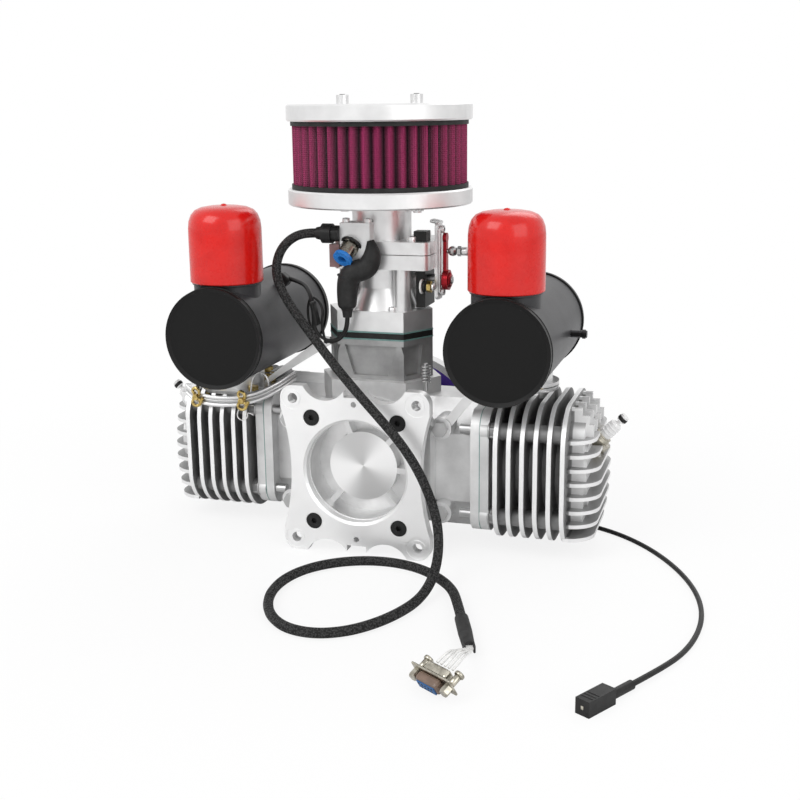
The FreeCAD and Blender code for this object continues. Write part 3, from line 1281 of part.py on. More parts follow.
doc.recompute()

for obj in doc.Objects:
    if "Invalid" in obj.State or "Error" in obj.State:
        raise RuntimeError(f"{obj.Name} ({obj.Label}) did not recompute: {obj.State}")
if len({obj.Label for obj in nodes}) < len(nodes):
    raise RuntimeError("two sub-parts share a name")
for obj in nodes:
    if obj.Shape.isNull() or not obj.Shape.isValid() or not obj.Shape.Solids:
        raise RuntimeError(f"{obj.Label} has no valid solid")
    obj.Shape.exportStep(f"parts/{obj.Label}.step")
    print(f"{obj.Label}: {len(obj.Shape.Solids)} solids, {obj.Shape.Volume / 1000:.1f} cm3")
print(len(nodes), "sub-parts")
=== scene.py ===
import json
import math

import bpy
from bpy.props import FloatProperty, FloatVectorProperty, PointerProperty
from mathutils import Matrix, Vector


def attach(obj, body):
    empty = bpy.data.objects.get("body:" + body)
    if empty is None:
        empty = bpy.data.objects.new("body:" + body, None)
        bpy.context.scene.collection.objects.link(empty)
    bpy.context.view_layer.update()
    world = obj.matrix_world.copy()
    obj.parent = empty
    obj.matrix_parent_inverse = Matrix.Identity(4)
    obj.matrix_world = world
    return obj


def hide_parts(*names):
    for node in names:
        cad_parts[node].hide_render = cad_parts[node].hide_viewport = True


bl_info = {
    "name": "Flat Twin Aircraft Engine",
    "version": (1, 0, 0),
    "blender": (4, 5, 0),
    "location": "View3D > Sidebar > Flat Twin",
    "description": "Finishes, cables and small fittings for a flat twin engine",
    "category": "Object",
}

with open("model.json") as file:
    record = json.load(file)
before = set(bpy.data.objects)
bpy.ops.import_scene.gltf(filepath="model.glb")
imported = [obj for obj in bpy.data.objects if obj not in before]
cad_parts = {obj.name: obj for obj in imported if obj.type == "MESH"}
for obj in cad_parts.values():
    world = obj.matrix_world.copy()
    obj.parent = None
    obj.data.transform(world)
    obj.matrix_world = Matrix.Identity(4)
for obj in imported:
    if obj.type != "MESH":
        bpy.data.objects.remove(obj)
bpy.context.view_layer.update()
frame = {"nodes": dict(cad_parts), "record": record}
MM = 0.001
ENGINE = "engine"


def srgb(red, green, blue):
    """A display colour from 0 to 255 as linear red, green, blue and alpha."""
    def linear(value):
        value /= 255
        return value / 12.92 if value <= 0.04045 else ((value + 0.055) / 1.055) ** 2.4
    return (linear(red), linear(green), linear(blue), 1.0)


# ---- settings ----

def colour(name, description, default):
    """A colour setting."""
    return FloatVectorProperty(
        name=name, description=description, subtype="COLOR", size=4, min=0, max=1, default=default
    )


def length(name, description, millimetres):
    """A length setting, given in millimetres."""
    return FloatProperty(
        name=name, description=description, default=millimetres * MM, min=0, subtype="DISTANCE", unit="LENGTH"
    )


class FlatTwinFinishes(bpy.types.PropertyGroup):
    """The colours that an owner would change."""
    caps: colour("Outlet caps", "Soft vinyl dust caps on the muffler outlets", srgb(214, 22, 14))
    gauze: colour("Filter gauze", "Outer folds of the oiled gauze", srgb(134, 24, 76))
    # Painted shade: the colour given to the bottom of the gauze's folds.
    gauze_fold_shade: colour("Filter folds", "Bottom of the gauze's folds", srgb(34, 5, 20))
    wheel: colour("Flywheel", "Anodised face of the flywheel and hub", srgb(82, 58, 150))
    lever: colour("Throttle lever", "Anodised throttle lever", srgb(168, 28, 40))
    collar: colour("Hose collar", "Release collar of the fuel fitting", srgb(48, 130, 214))
    gasket: colour("Gaskets", "Printed intake gaskets", srgb(112, 150, 146))
    muffler: colour("Muffler", "Baked coating along the muffler's side", srgb(66, 66, 68))


class FlatTwinSizes(bpy.types.PropertyGroup):
    """The sizes that an owner would change."""
    harness_d: length("Harness diameter", "Outside of the braided sleeve", 6.4)
    lead_d: length("Sensor lead diameter", "Outside of the ignition sensor's lead", 3.2)
    wire_d: length("Wire diameter", "Insulated wires of the plugs and sensors", 1.6)
    spring_wire_d: length("Spring wire", "Wire of the exhaust flange springs", 1.1)
    floor_drop: length("Floor", "Depth of the floor below the crankshaft's axis", 59.1)


# ---- materials ----

class Wire:
    """One output of a material's node. Arithmetic on it adds Math nodes."""

    def __init__(self, finish, socket):
        self.finish = finish
        self.socket = socket

    def __add__(self, other):
        return self.finish.math("ADD", self, other)

    __radd__ = __add__

    def __sub__(self, other):
        return self.finish.math("SUBTRACT", self, other)

    def __rsub__(self, other):
        return self.finish.math("SUBTRACT", other, self)

    def __mul__(self, other):
        return self.finish.math("MULTIPLY", self, other)

    __rmul__ = __mul__

    def __abs__(self):
        return self.finish.math("ABSOLUTE", self)


class Finish:
    """A material built round one Principled shader."""

    def __init__(self, name, **constants):
        self.material = bpy.data.materials.new(name)
        self.material.use_nodes = True
        self.tree = self.material.node_tree
        self.shader = self.tree.nodes["Principled BSDF"]
        for key, value in constants.items():
            self.shader.inputs[key.replace("_", " ").title().replace("Ior", "IOR")].default_value = value

    def node(self, kind, settings=None, inputs=None, out=0):
        """Any other node: its type, its settings, the values or links of its sockets, and the output wanted."""
        made = self.tree.nodes.new(kind)
        for key, value in (settings or {}).items():
            if key == "stops":
                ramp = made.color_ramp.elements
                while len(ramp) < len(value):
                    ramp.new(0.5)
                for stop, (position, shade) in zip(ramp, value):
                    stop.position = position
                    stop.color = shade
            else:
                setattr(made, key, value)
        for key, value in (inputs or {}).items():
            if isinstance(value, Wire):
                self.tree.links.new(value.socket, made.inputs[key])
            else:
                made.inputs[key].default_value = value
        return Wire(self, made.outputs[out])

    def math(self, operation, *values):
        """A Math node whose inputs are these values in order."""
        return self.node("ShaderNodeMath", {"operation": operation}, dict(enumerate(values)))

    def feed(self, socket, wire):
        """Links a wire to one of the shader's sockets."""
        self.tree.links.new(wire.socket, self.shader.inputs[socket])
        return self

    def place(self):
        """The place of each point in the engine's own axes, in metres."""
        return self.node("ShaderNodeTexCoord", out="Object")

    def axis(self, vector, letter):
        """One part of a vector."""
        return self.node("ShaderNodeSeparateXYZ", inputs={0: vector}, out=letter)

    def facing(self, letter):
        """How squarely the surface faces along an axis, from 0 to 1."""
        return abs(self.axis(self.node("ShaderNodeNewGeometry", out="True Normal"), letter))

    def grain(self, size, detail=3.0, roughness=0.55, stretch=(1, 1, 1)):
        """Soft noise with features of about this size in metres."""
        where = self.node("ShaderNodeMapping", inputs={"Vector": self.place(), "Scale": stretch})
        return self.node("ShaderNodeTexNoise", inputs={
            "Vector": where, "Scale": 1 / size, "Detail": detail, "Roughness": roughness,
        })

    def ramp(self, value, *stops):
        """A colour ramp, from pairs of position and colour."""
        return self.node("ShaderNodeValToRGB", {"stops": stops}, {0: value})

    def step(self, value, low, high):
        """Rises from 0 to 1 as the value goes from low to high."""
        return self.node("ShaderNodeMapRange", {"interpolation_type": "SMOOTHSTEP"}, {
            "Value": value, "From Min": low, "From Max": high,
        })

    def mix(self, factor, first, second):
        """A mix of two colours."""
        return self.node("ShaderNodeMix", {"data_type": "RGBA"}, {0: factor, 6: first, 7: second}, out=2)

    def relief(self, height, strength, depth):
        """Raises the surface by a height map; depth is in metres."""
        bump = self.node("ShaderNodeBump", inputs={"Strength": strength, "Distance": depth, "Height": height})
        return self.feed("Normal", bump)


def shade(tone, alpha=1.0):
    """A neutral grey."""
    return (tone, tone, tone, alpha)


def cast_aluminium(name, dark, light, rough=0.42):
    """Bead-blasted casting: fine pits, soft cloudiness, duller in the hollows of its grain."""
    finish = Finish(name, metallic=0.6)
    cloud = finish.grain(0.022, 4)
    pits = finish.grain(0.0009, 2)
    finish.feed("Base Color", finish.ramp(cloud, (0.3, dark), (0.7, light)))
    finish.feed("Roughness", rough + pits * 0.14)
    return finish.relief(pits + cloud * 0.6, 0.32, 0.00016)


def finned_casting():
    """The cylinder casting, whose machined fin edges are brighter than the sides of the fins, which carry
    painted shade.
    """
    finish = Finish("Finned casting", metallic=0.6)
    cloud = finish.grain(0.018, 4)
    pits = finish.grain(0.0011, 2)
    place = finish.place()
    away = abs(finish.axis(place, "X"))
    middle = 0.071 - finish.math("SIGN", finish.axis(place, "X")) * 0.009
    across = abs(finish.axis(place, "Y") - middle)
    height = abs(finish.axis(place, "Z"))
    outline = finish.math("MAXIMUM", finish.step(across, 0.0455, 0.0465), finish.step(height, 0.0435, 0.0445))
    outline = finish.math("MAXIMUM", outline, finish.step(across + height, 0.0775, 0.0785))
    edge = (1 - finish.step(finish.facing("X"), 0.4, 0.8)) * outline
    barrel = 1 - finish.step(away, 0.1425, 0.1435)
    flange = finish.step(away, 0.0885, 0.0895)
    # Painted shade: the sides of the fins are coloured much darker, standing for the shade between the fins.
    sides = finish.ramp(cloud, (0.3, shade(0.20)), (0.7, shade(0.32)))
    plain = finish.ramp(cloud, (0.3, shade(0.60)), (0.7, shade(0.76)))
    rim = finish.mix(edge, sides, shade(0.88))
    head = finish.mix(finish.step(finish.facing("Z"), 0.5, 0.9), shade(0.80), shade(0.42))
    body = finish.mix(barrel, head, finish.mix(flange, plain, rim))
    finish.feed("Base Color", body)
    finish.feed("Roughness", 0.48 - edge * 0.16 + pits * 0.1)
    return finish.relief(pits, 0.35, 0.00018)


def satin_plate():
    """Fine-brushed plate with a faint grain across it."""
    finish = Finish("Satin plate", metallic=0.6)
    brushed = finish.grain(0.0012, 3, stretch=(1, 1, 14))
    cloud = finish.grain(0.03, 2)
    finish.feed("Base Color", finish.ramp(cloud, (0.2, shade(0.80)), (0.8, shade(0.90))))
    finish.feed("Roughness", 0.3 + brushed * 0.16)
    return finish.relief(brushed, 0.12, 0.00006)


def machined(name="Machined aluminium", tone=0.80, metallic=0.75):
    """Turned or milled metal with fine tool marks."""
    finish = Finish(name, metallic=metallic)
    marks = finish.grain(0.0011, 3, stretch=(1, 1, 9))
    cloud = finish.grain(0.016, 2)
    finish.feed("Base Color", finish.ramp(cloud, (0.3, shade(tone * 0.84)), (0.7, shade(tone))))
    finish.feed("Roughness", 0.24 + marks * 0.2)
    return finish.relief(marks, 0.15, 0.00007)


def turned_housing():
    """The rear housing: blasted walls round a boss whose face is turned in fine rings and carries a painted
    highlight in two wedges.
    """
    finish = Finish("Turned housing", metallic=0.95)
    place = finish.place()
    flat = finish.node("ShaderNodeVectorMath", {"operation": "MULTIPLY"}, {0: place, 1: (1, 0, 1)})
    radius = finish.node("ShaderNodeVectorMath", {"operation": "LENGTH"}, {0: flat}, out="Value")
    face = finish.step(finish.facing("Y"), 0.8, 0.95) * (1 - finish.step(radius, 0.0242, 0.0246))
    rings = finish.node("ShaderNodeTexNoise", {"noise_dimensions": "1D"}, {"W": radius, "Scale": 2600.0})
    pits = finish.grain(0.001, 2)
    # Painted highlight: the boss face is coloured brighter in two opposite wedges, by angle round the axis.
    angle = finish.math("ARCTAN2", finish.axis(place, "Z"), finish.axis(place, "X"))
    boss_painted_highlight = finish.step(finish.math("SINE", angle * 2.0 + 0.9), -1.0, 1.0)
    boss = finish.ramp(boss_painted_highlight, (0.0, shade(0.56)), (0.55, shade(0.74)), (1.0, shade(0.95)))
    wall = finish.ramp(finish.grain(0.02, 3), (0.3, shade(0.64)), (0.7, shade(0.80)))
    finish.feed("Base Color", finish.mix(face, wall, boss))
    finish.feed("Roughness", 0.3 - face * 0.04 + pits * 0.08)
    return finish.relief(pits * (1 - face) + rings * face, 0.25, 0.00012)


def ground_steel():
    """Ground and polished steel."""
    return machined("Ground steel", 0.5, 1.0)


def nickel():
    """Warm nickel plate."""
    finish = Finish("Nickel plate", metallic=1.0)
    cloud = finish.grain(0.004, 3)
    finish.feed("Base Color", finish.ramp(cloud, (0.3, (0.26, 0.245, 0.205, 1)), (0.7, (0.58, 0.55, 0.47, 1))))
    finish.feed("Roughness", 0.16 + cloud * 0.2)
    return finish


def brass():
    """Turned brass, slightly heat-stained."""
    finish = Finish("Brass", metallic=1.0)
    cloud = finish.grain(0.003, 3)
    finish.feed("Base Color", finish.ramp(cloud, (0.3, (0.30, 0.20, 0.05, 1)), (0.7, (0.74, 0.58, 0.24, 1))))
    finish.feed("Roughness", 0.2 + cloud * 0.2)
    return finish


def rubber(name="Moulded rubber", tone=0.016, rough=0.52):
    """Moulded rubber or plastic, nearly black, with a dull bloom."""
    finish = Finish(name, specular_ior_level=0.22)
    bloom = finish.grain(0.006, 4)
    skin = finish.grain(0.0006, 2)
    finish.feed("Base Color", finish.ramp(bloom, (0.3, shade(tone * 0.75)), (0.75, shade(tone * 1.7))))
    finish.feed("Roughness", rough + skin * 0.12)
    return finish.relief(skin, 0.2, 0.00008)


def plastic(name, tint, rough=0.4):
    """Moulded plastic of one colour."""
    finish = Finish(name)
    cloud = finish.grain(0.005, 3)
    skin = finish.grain(0.0007, 2)
    darker = tuple(c * 0.72 for c in tint[:3]) + (1.0,)
    finish.feed("Base Color", finish.ramp(cloud, (0.3, darker), (0.7, tuple(tint))))
    finish.feed("Roughness", rough + skin * 0.1)
    return finish.relief(skin, 0.12, 0.00006)


def anodised(name, tint, rough=0.26):
    """Dyed anodised aluminium."""
    finish = plastic(name, tint, rough)
    finish.shader.inputs["Metallic"].default_value = 0.75
    return finish


def anodised_wheel(tint):
    """The purple flywheel, whose rim is left bright."""
    finish = Finish("Anodised wheel", metallic=0.85)
    place = finish.place()
    flat = finish.node("ShaderNodeVectorMath", {"operation": "MULTIPLY"}, {0: place, 1: (1, 0, 1)})
    radius = finish.node("ShaderNodeVectorMath", {"operation": "LENGTH"}, {0: flat}, out="Value")
    rim = finish.step(radius, 0.0536, 0.0541)
    marks = finish.node("ShaderNodeTexNoise", {"noise_dimensions": "1D"}, {"W": radius, "Scale": 2200.0})
    finish.feed("Base Color", finish.mix(rim, tuple(tint), shade(0.62)))
    finish.feed("Roughness", 0.22 + marks * 0.14)
    return finish.relief(marks, 0.2, 0.00006)


def vinyl(tint):
    """Dipped vinyl: glossy, faintly uneven, deeper in patches."""
    finish = Finish("Dipped vinyl", coat_weight=0.3, coat_roughness=0.05, specular_ior_level=0.3)
    uneven = finish.grain(0.012, 3)
    skin = finish.grain(0.0035, 2)
    deep = (tint[0] * 0.86, tint[1] * 0.6, tint[2] * 0.6, 1)
    finish.feed("Base Color", finish.ramp(uneven, (0.25, deep), (0.7, tuple(tint))))
    finish.feed("Roughness", 0.22 + skin * 0.12)
    return finish.relief(uneven + skin * 0.1, 0.2, 0.0006)


def gauze(tint, deep):
    """Oiled cotton folds under a fine wire mesh: bright crests, painted shade in the valleys, a woven grain."""
    finish = Finish("Filter gauze", roughness=0.62)
    place = finish.place()
    centre = (0.0011, 0.062, 0)
    local = finish.node("ShaderNodeVectorMath", {"operation": "SUBTRACT"}, {0: place, 1: centre})
    flat = finish.node("ShaderNodeVectorMath", {"operation": "MULTIPLY"}, {0: local, 1: (1, 1, 0)})
    radius = finish.node("ShaderNodeVectorMath", {"operation": "LENGTH"}, {0: flat}, out="Value")
    # Painted shade: inside this radius the valleys of the folds take the dark fold colour.
    crest = finish.step(radius, 0.0545, 0.0598)
    across = finish.axis(place, "X") + finish.axis(place, "Y") * 0.8
    level = finish.axis(place, "Z")
    up = finish.math("SINE", (across + level) * 2400.0)
    down = finish.math("SINE", (across - level) * 2400.0)
    mesh = finish.step(up * down, -0.2, 0.75)
    lint = finish.grain(0.0022, 3)
    worn = tuple(min(1.0, c * 1.5 + 0.01) for c in tint[:3]) + (1.0,)
    cloth = finish.mix(lint, finish.mix(crest, tuple(deep), tuple(tint)), finish.mix(crest, tuple(deep), worn))
    wire = tuple(c * 0.35 for c in tint[:3]) + (1.0,)
    finish.feed("Base Color", finish.mix(mesh * crest * 0.55, cloth, wire))
    return finish.relief(mesh + lint * 0.5, 0.6, 0.0005)


def muffler_coating(tint):
    """Black end plates and a satin baked coat along the can, with a browned weld at each end."""
    finish = Finish("Muffler coating", specular_ior_level=0.2)
    place = finish.place()
    end = finish.step(finish.facing("Y"), 0.75, 0.95)
    cloud = finish.grain(0.02, 4)
    skin = finish.grain(0.0011, 2)
    dark = tuple(c * 0.6 for c in tint[:3]) + (1.0,)
    side = finish.ramp(cloud, (0.25, dark), (0.75, tuple(tint)))
    rim = finish.step(abs(finish.axis(place, "Y") - 0.0605), 0.0605, 0.0615)
    side = finish.mix(rim, side, shade(0.012))
    finish.feed("Base Color", finish.mix(end, side, shade(0.0035)))
    finish.feed("Roughness", 0.34 + end * 0.2 + skin * 0.08)
    return finish.relief(skin + cloud * 0.5, 0.2, 0.00012)


def braid():
    """Woven cable sleeve: over-and-under strands, smoother on their crowns, with a painted sheen on the crowns
    and painted shade between the strands.
    """
    finish = Finish("Braided sleeve", specular_ior_level=0.25)
    cells = finish.node("ShaderNodeTexVoronoi", inputs={"Vector": finish.place(), "Scale": 900.0})
    strands = finish.step(cells, 0.15, 0.75)
    # Painted sheen and shade: the base colour is lighter at the strand crowns and darker in the gaps between
    # them.
    finish.feed("Base Color", finish.ramp(strands, (0.0, shade(0.045)), (1.0, shade(0.006))))
    finish.feed("Roughness", 0.42 + strands * 0.3)
    return finish.relief(1 - strands, 0.7, 0.0005)


def lead_jacket():
    """The smooth round jacket of the sensor lead."""
    return rubber("Lead jacket", 0.012, 0.38)


def ceramic():
    """Glazed spark plug ceramic."""
    finish = Finish("Glazed ceramic", coat_weight=0.5)
    cloud = finish.grain(0.004, 2)
    finish.feed("Base Color", finish.ramp(cloud, (0.2, shade(0.72)), (0.8, shade(0.86))))
    finish.feed("Roughness", 0.16 + cloud * 0.1)
    return finish


def filter_metal():
    """Spun filter plates: brushed round the rim and satin on the flats."""
    finish = Finish("Filter plates", metallic=0.8)
    rings = finish.grain(0.0011, 3, stretch=(1, 1, 12))
    cloud = finish.grain(0.02, 3)
    finish.feed("Base Color", finish.ramp(cloud, (0.3, shade(0.72)), (0.7, shade(0.84))))
    finish.feed("Roughness", 0.28 + rings * 0.16)
    return finish.relief(rings, 0.14, 0.00006)


FINISHES = {}


def make_finishes(tints):
    """Every finish by the record's slot name or by its own."""
    FINISHES.update({
        "satin_plate": satin_plate(),
        "black_screw": rubber("Black oxide screws", 0.012, 0.3),
        "cast_case": cast_aluminium("Blasted casting", shade(0.62), shade(0.80)),
        "cast_intake": cast_aluminium("Grey intake casting", shade(0.26), shade(0.42), 0.34),
        "cast_cylinder": finned_casting(),
        "turned_housing": turned_housing(),
        "gasket": plastic("Printed gasket", tints.gasket, 0.5),
        "black_insulator": rubber("Insulator", 0.014, 0.35),
        "steel": ground_steel(),
        "machined": machined(),
        "black_rubber": rubber(),
        "black_plastic": rubber("Moulded black plastic", 0.014, 0.34),
        "tan_plastic": plastic("Brownish plastic", srgb(122, 92, 92), 0.45),
        "nickel": nickel(),
        "brass": brass(),
        "blue_plastic": plastic("Collar plastic", tints.collar, 0.22),
        "red_anodised": anodised("Anodised lever", tints.lever),
        "purple_anodised": anodised_wheel(tints.wheel),
        "filter_plate": filter_metal(),
        "filter_gauze": gauze(tints.gauze, tints.gauze_fold_shade),
        "muffler_sheet": muffler_coating(tints.muffler),
        "red_vinyl": vinyl(tints.caps),
        "ceramic": ceramic(),
        "braid": braid(),
        "lead_jacket": lead_jacket(),
        "shrink": rubber("Heat-shrink sleeve", 0.03, 0.6),
        "white_wire": plastic("White wire insulation", srgb(250, 250, 248), 0.4),
        "teal_nut": anodised("Teal nut", srgb(92, 128, 124)),
        "bronze": plastic("Bronzed shell", srgb(128, 106, 92), 0.3),
        "socket_blue": plastic("Blue socket insert", srgb(30, 92, 150), 0.4),
    })


NODE_FINISH = {
    "rear_housing": "turned_housing",
    "reed_housing": "cast_intake",
    "exhaust_headers": "machined",
    "muffler_struts": "machined",
    "carrier_plate": "machined",
    "filter_posts": "machined",
    "case_bolts": "steel",
}


# ---- places that several pieces share, in millimetres ----

BANKS = {"left": (-1, 80), "right": (1, 62)}
CAN_X = 99
CAN_Z = 89
OUTLET_Y = 22
SHAFT_Y = 63
INTAKE_Y = 62


# ---- mesh tools ----

def shown(name, verts, faces, finish, body=ENGINE, smooth=True):
    """A mesh object in a finish, riding on a body. Corners are in millimetres."""
    mesh = bpy.data.meshes.new(name)
    mesh.from_pydata([tuple(c * MM for c in v) for v in verts], [], faces)
    mesh.validate()
    if smooth:
        mesh.shade_smooth()
    piece = bpy.data.objects.new(name, mesh)
    bpy.context.collection.objects.link(piece)
    mesh.materials.append(FINISHES[finish].material)
    if smooth:
        crease = piece.modifiers.new("Crease", "EDGE_SPLIT")
        crease.split_angle = math.radians(38)
    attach(piece, body)
    finish in SLOTS
    return piece


def turned(name, profile, start, axis, finish, sides=32, body=ENGINE, smooth=True):
    """A body of revolution from (radius, distance along the axis) corners, from a start point."""
    turn = Vector((0, 0, 1)).rotation_difference(Vector(axis).normalized())
    origin = Vector(start)
    verts, faces = [], []
    for radius, along in profile:
        for n in range(sides):
            angle = 2 * math.pi * n / sides
            point = Vector((radius * math.cos(angle), radius * math.sin(angle), along))
            verts.append(tuple(origin + turn @ point))
    for ring in range(len(profile) - 1):
        for n in range(sides):
            a, b = ring * sides + n, ring * sides + (n + 1) % sides
            faces.append((a, b, b + sides, a + sides))
    last = (len(profile) - 1) * sides
    faces.append(tuple(reversed(range(sides))))
    faces.append(tuple(range(last, last + sides)))
    return shown(name, verts, faces, finish, body, smooth)


def rod(name, start, end, radius, finish, sides=20, body=ENGINE):
    """A plain round bar between two points, with softened ends."""
    run = Vector(end) - Vector(start)
    soft = min(radius * 0.25, run.length * 0.2)
    profile = [(radius - soft, 0), (radius, soft), (radius, run.length - soft), (radius - soft, run.length)]
    return turned(name, profile, start, run, finish, sides, body)


def hex_nut(name, start, axis, across, height, finish, body=ENGINE):
    """A hexagon head or nut with a chamfered top."""
    radius = across / math.sqrt(3)
    profile = [(radius, 0), (radius, height * 0.82), (radius * 0.86, height)]
    return turned(name, profile, start, axis, finish, 6, body, smooth=False)


def slab(name, size, centre, finish, turn=(0, 0, 0), soft=0.6, body=ENGINE):
    """A box with bevelled edges, turned by angles in degrees about X, Y and Z."""
    spin = Matrix.Rotation(math.radians(turn[2]), 3, "Z") @ Matrix.Rotation(math.radians(turn[1]), 3, "Y")
    spin = spin @ Matrix.Rotation(math.radians(turn[0]), 3, "X")
    half = [s / 2 for s in size]
    verts = []
    for i in (-1, 1):
        for j in (-1, 1):
            for k in (-1, 1):
                verts.append(tuple(Vector(centre) + spin @ Vector((i * half[0], j * half[1], k * half[2]))))
    faces = [(0, 1, 3, 2), (4, 6, 7, 5), (0, 4, 5, 1), (2, 3, 7, 6), (0, 2, 6, 4), (1, 5, 7, 3)]
    piece = shown(name, verts, faces, finish, body, smooth=False)
    bevel = piece.modifiers.new("Soft edges", "BEVEL")
    bevel.width = soft * MM
    bevel.segments = 2
    return piece


def bent_wire(name, points, diameter, finish, body=ENGINE, swell=None):
    """A round wire along a smooth line through millimetre points."""
    curve = spline(name, points, diameter, finish, swell)
    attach(curve, body)
    return curve


def spline(name, points, diameter, finish, swell=None):
    """A round NURBS tube, points in millimetres, diameter in metres; swell is each point's share of it."""
    data = bpy.data.curves.new(name, "CURVE")
    data.dimensions = "3D"
    line = data.splines.new("NURBS")
    line.points.add(len(points) - 1)
    for control, point, share in zip(line.points, points, swell or [1] * len(points)):
        control.co = (*(c * MM for c in point), 1)
        control.radius = share
    line.order_u = 3
    line.use_endpoint_u = True
    line.resolution_u = 8
    data.bevel_depth = diameter / 2
    data.bevel_resolution = 5
    data.use_fill_caps = True
    piece = bpy.data.objects.new(name, data)
    bpy.context.collection.objects.link(piece)
    data.materials.append(FINISHES[finish].material)
    return piece


def joined(pieces):
    """Several small meshes as one object, which keeps the first one's name."""
    with bpy.context.temp_override(active_object=pieces[0], selected_editable_objects=pieces):
        bpy.ops.object.join()
    return pieces[0]


def torus_ring(name, centre, axis, radius, section, finish, sides=36, body=ENGINE):
    """A round ring about an axis."""
    turn = Vector((0, 0, 1)).rotation_difference(Vector(axis).normalized())
    verts, faces, tube = [], [], 10
    for n in range(sides):
        around = 2 * math.pi * n / sides
        for m in range(tube):
            over = 2 * math.pi * m / tube
            reach = radius + section * math.cos(over)
            point = Vector((reach * math.cos(around), reach * math.sin(around), section * math.sin(over)))
            verts.append(tuple(Vector(centre) + turn @ point))
            after, above = ((n + 1) % sides) * tube, (m + 1) % tube
            faces.append((n * tube + m, after + m, after + above, n * tube + above))
    return shown(name, verts, faces, finish, body)


def coil(name, start, axis, radius, turns, height, wire, finish, body=ENGINE):
    """A helical spring; wire is its diameter in millimetres."""
    turn = Vector((0, 0, 1)).rotation_difference(Vector(axis).normalized())
    steps = int(turns * 14)
    points = []
    for n in range(steps + 1):
        angle = 2 * math.pi * turns * n / steps
        point = Vector((radius * math.cos(angle), radius * math.sin(angle), height * n / steps))
        points.append(tuple(Vector(start) + turn @ point))
    return bent_wire(name, points, wire * MM, finish, body)


def screw(name, seat, axis, radius, finish, body=ENGINE):
    """A socket cap screw's head, with a thin black hexagon disc on it as painted shade for the recess."""
    height = radius * 1.1
    profile = [(radius, 0), (radius, height * 0.85), (radius * 0.88, height)]
    head = turned(name, profile, seat, axis, finish, 24, body)
    top = Vector(seat) + Vector(axis).normalized() * height
    # Painted shade: a thin black hexagon disc stands for the dark inside of the hex recess.
    socket = [(radius * 0.5, 0), (radius * 0.5, 0.12)]
    turned(name + "_socket", socket, top, axis, "black_plastic", 6, body, False)
    return head


# ---- the stage ----

